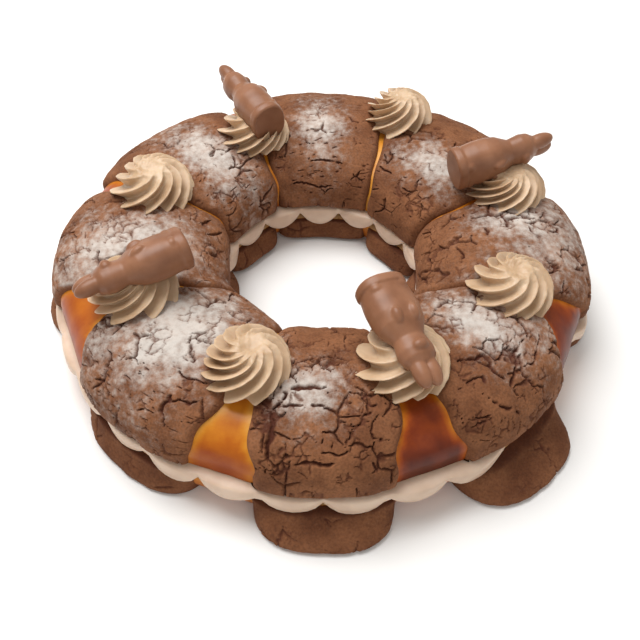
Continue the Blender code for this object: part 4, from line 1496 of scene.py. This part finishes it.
@dataclass
class Rabbits:
    """The moulded chocolate rabbits."""

    body: tuple[tuple[float, float], ...] = RABBIT_BODY
    flatness: float = RABBIT_FLATNESS
    squareness: float = 2.4
    bumps: tuple[Bump, ...] = (
        Bump((-2.6, 0.5, 46.4), (3.9, 3.9, 7.8), 4, -1),
        Bump((2.6, 0.5, 46.4), (3.9, 3.9, 7.8), 4, 1),
        Bump((-4.1, 7.8, 21.8), (2.4, 2.6, 4.1), 20),
        Bump((4.1, 7.8, 21.8), (2.4, 2.6, 4.1), 20),
        Bump((0.0, 5.7, 36.8), (3.8, 3.1, 2.9)),
        Bump((-5.5, 6.0, 6.4), (3.6, 2.9, 2.8)),
        Bump((5.5, 6.0, 6.4), (3.6, 2.9, 2.8)),
    )
    voxel: float = 0.5
    passes: int = 5

    def _turned(self) -> bpy.types.Object:
        """Body and head: a disc drawn up ring by ring."""
        deselect_all()
        first = self.body[0]
        bpy.ops.mesh.primitive_circle_add(
            vertices=64, radius=first[0] * MM, fill_type="NGON", location=(0, 0, first[1] * MM)
        )
        body = bpy.context.object
        bpy.ops.object.mode_set(mode="EDIT")
        bpy.ops.mesh.select_all(action="SELECT")
        for (radius, height), (wider, higher) in itertools.pairwise(self.body):
            bpy.ops.mesh.extrude_region_move(
                TRANSFORM_OT_translate={"value": (0, 0, (higher - height) * MM)}
            )
            grow = wider / radius
            bpy.ops.transform.resize(value=(grow, grow, 1), center_override=(0, 0, 0))
        bpy.ops.object.mode_set(mode="OBJECT")
        return body

    def _square_up(self, body: bpy.types.Object) -> None:
        """Turns the round body into a flattened one with rounded-square sections."""
        points = points_of(body.data) / MM
        radius = np.hypot(points[:, 0], points[:, 1])
        angle = np.arctan2(points[:, 1], points[:, 0])
        bend = 2 / (2 + (self.squareness - 2) * (1 - smooth((points[:, 2] - 24) / 10)))
        points[:, 0] = radius * power(np.cos(angle), bend)
        points[:, 1] = radius * power(np.sin(angle), bend) * self.flatness
        set_points(body.data, points)

    def _model(self) -> bpy.types.Object:
        """One standing rabbit, its pieces melted into one skin."""
        body = self._turned()
        self._square_up(body)
        face_outwards(body)
        parts = [body]
        for bump in self.bumps:
            deselect_all()
            bpy.ops.mesh.primitive_uv_sphere_add(
                segments=32, ring_count=20, radius=MM, location=[c * MM for c in bump.centre]
            )
            part = bpy.context.object
            part.scale = bump.radii
            part.rotation_euler = (math.radians(bump.tilt), math.radians(bump.sway), 0)
            parts.append(part)
        make_active(body)
        for part in parts:
            part.select_set(True)
        bpy.ops.object.join()
        bpy.ops.object.transform_apply(location=True, rotation=True, scale=True)
        remesh = body.modifiers.new("melt", "REMESH")
        remesh.mode = "VOXEL"
        remesh.voxel_size = self.voxel * MM
        bpy.ops.object.modifier_apply(modifier=remesh.name)
        ease = body.modifiers.new("ease", "SMOOTH")
        ease.factor = 0.5
        ease.iterations = self.passes
        bpy.ops.object.modifier_apply(modifier=ease.name)
        return body

    def build(self, chocolate: bpy.types.Material) -> None:
        """Makes the four rabbits, each with its own mesh.

        Args:
            chocolate: Their finish.
        """
        model = self._model()
        standing = points_of(model.data) / MM
        for number, rabbit in enumerate(RABBITS):
            copy = model.copy()
            copy.data = model.data.copy()
            bpy.context.scene.collection.objects.link(copy)
            matrix = np.array(rabbit.matrix())
            set_points(copy.data, standing @ matrix[:3, :3].T + matrix[:3, 3])
            dress(copy, f"bunny_{number + 1}", [chocolate], sharp=70)
        bpy.data.objects.remove(model)


# ---- the studio ----


@dataclass(frozen=True)
class Softbox:
    """A square area light aimed at a point, in metres and watts."""

    name: str
    place: tuple[float, float, float]
    side: float
    power: float


@dataclass
class Studio:
    """Pale floor, soft light and the camera."""

    elevation: float = 48.729
    distance: float = 0.430
    target: tuple[float, float, float] = (-0.000524, -0.047317, 0.040)
    lens: float = 51.373
    roll: float = 1.81  # degrees that the camera is turned about its line of sight
    floor_side: float = 8.0
    floor_colour: str = "#F4F3F1"
    floor_roughness: float = 0.8
    floor_height: float = -0.0002  # just under the base, so that the two don't share a plane
    sky_colour: str = "#FFFDFA"
    sky_strength: float = 0.50
    lights: tuple[Softbox, ...] = (
        Softbox("key_softbox", (-0.35, 0.30, 1.10), 0.9, 17.0),
        Softbox("front_fill", (0.45, -1.00, 0.75), 0.9, 1.5),
    )

    def _camera(self) -> None:
        """A short lens close above the front, looking down."""
        rise, roll = math.radians(self.elevation), math.radians(self.roll)
        back = Vector((0, -math.cos(rise), math.sin(rise)))
        level, upright = Vector((1, 0, 0)), Vector((0, math.sin(rise), math.cos(rise)))
        right = level * math.cos(roll) + upright * math.sin(roll)
        up = upright * math.cos(roll) - level * math.sin(roll)
        data = bpy.data.cameras.new("camera")
        data.sensor_width = 36.0
        data.lens = self.lens
        camera = bpy.data.objects.new("camera", data)
        camera.location = Vector(self.target) + back * self.distance
        camera.rotation_euler = Matrix((right, up, back)).transposed().to_euler()
        bpy.context.scene.collection.objects.link(camera)
        bpy.context.scene.camera = camera

    def _floor(self) -> None:
        """A wide pale floor."""
        deselect_all()
        bpy.ops.mesh.primitive_plane_add(size=self.floor_side, location=(0, 0, self.floor_height))
        floor = bpy.context.object
        floor.name = "floor"
        material = bpy.data.materials.new("painted_board_matt")
        material.use_nodes = True
        shader = material.node_tree.nodes["Principled BSDF"]
        shader.inputs["Base Color"].default_value = linear(self.floor_colour)
        shader.inputs["Roughness"].default_value = self.floor_roughness
        floor.data.materials.append(material)

    def build(self) -> None:
        """Sets the studio up."""
        self._camera()
        self._floor()
        world = bpy.data.worlds.new("studio")
        world.use_nodes = True
        sky = world.node_tree.nodes["Background"]
        sky.inputs["Color"].default_value = linear(self.sky_colour)
        sky.inputs["Strength"].default_value = self.sky_strength
        bpy.context.scene.world = world
        for light in self.lights:
            data = bpy.data.lights.new(light.name, "AREA")
            data.size = light.side
            data.energy = light.power
            lamp = bpy.data.objects.new(light.name, data)
            lamp.location = light.place
            lamp.rotation_euler = (-Vector(light.place)).to_track_quat("-Z", "Y").to_euler()
            bpy.context.scene.collection.objects.link(lamp)
        bpy.context.scene.view_settings.view_transform = "Standard"


def main() -> None:
    """Builds the loaf around the frame."""
    logging.basicConfig(level=logging.INFO, format="%(name)s %(message)s")
    form = LoafForm()
    relief = PasteRelief(Grain(3))
    Studio().build()
    paste = CocoaPaste().material()
    Bread(form).build(GlazedCrust().material(), Crumb().material())
    filling = Cream(name="filling_cream_piped", pale="#D9BFA8", deep="#CBAE96", bubble_share=0.0)
    CreamLayer(form).build(filling.material())
    PasteFeet(form, relief).build(paste)
    CocoaPanels(form, relief).build(paste)
    Rosettes(form).build(Cream(name="coffee_cream_piped").material())
    Rabbits().build(MilkChocolate().material())


if __name__ == "__main__":
    main()
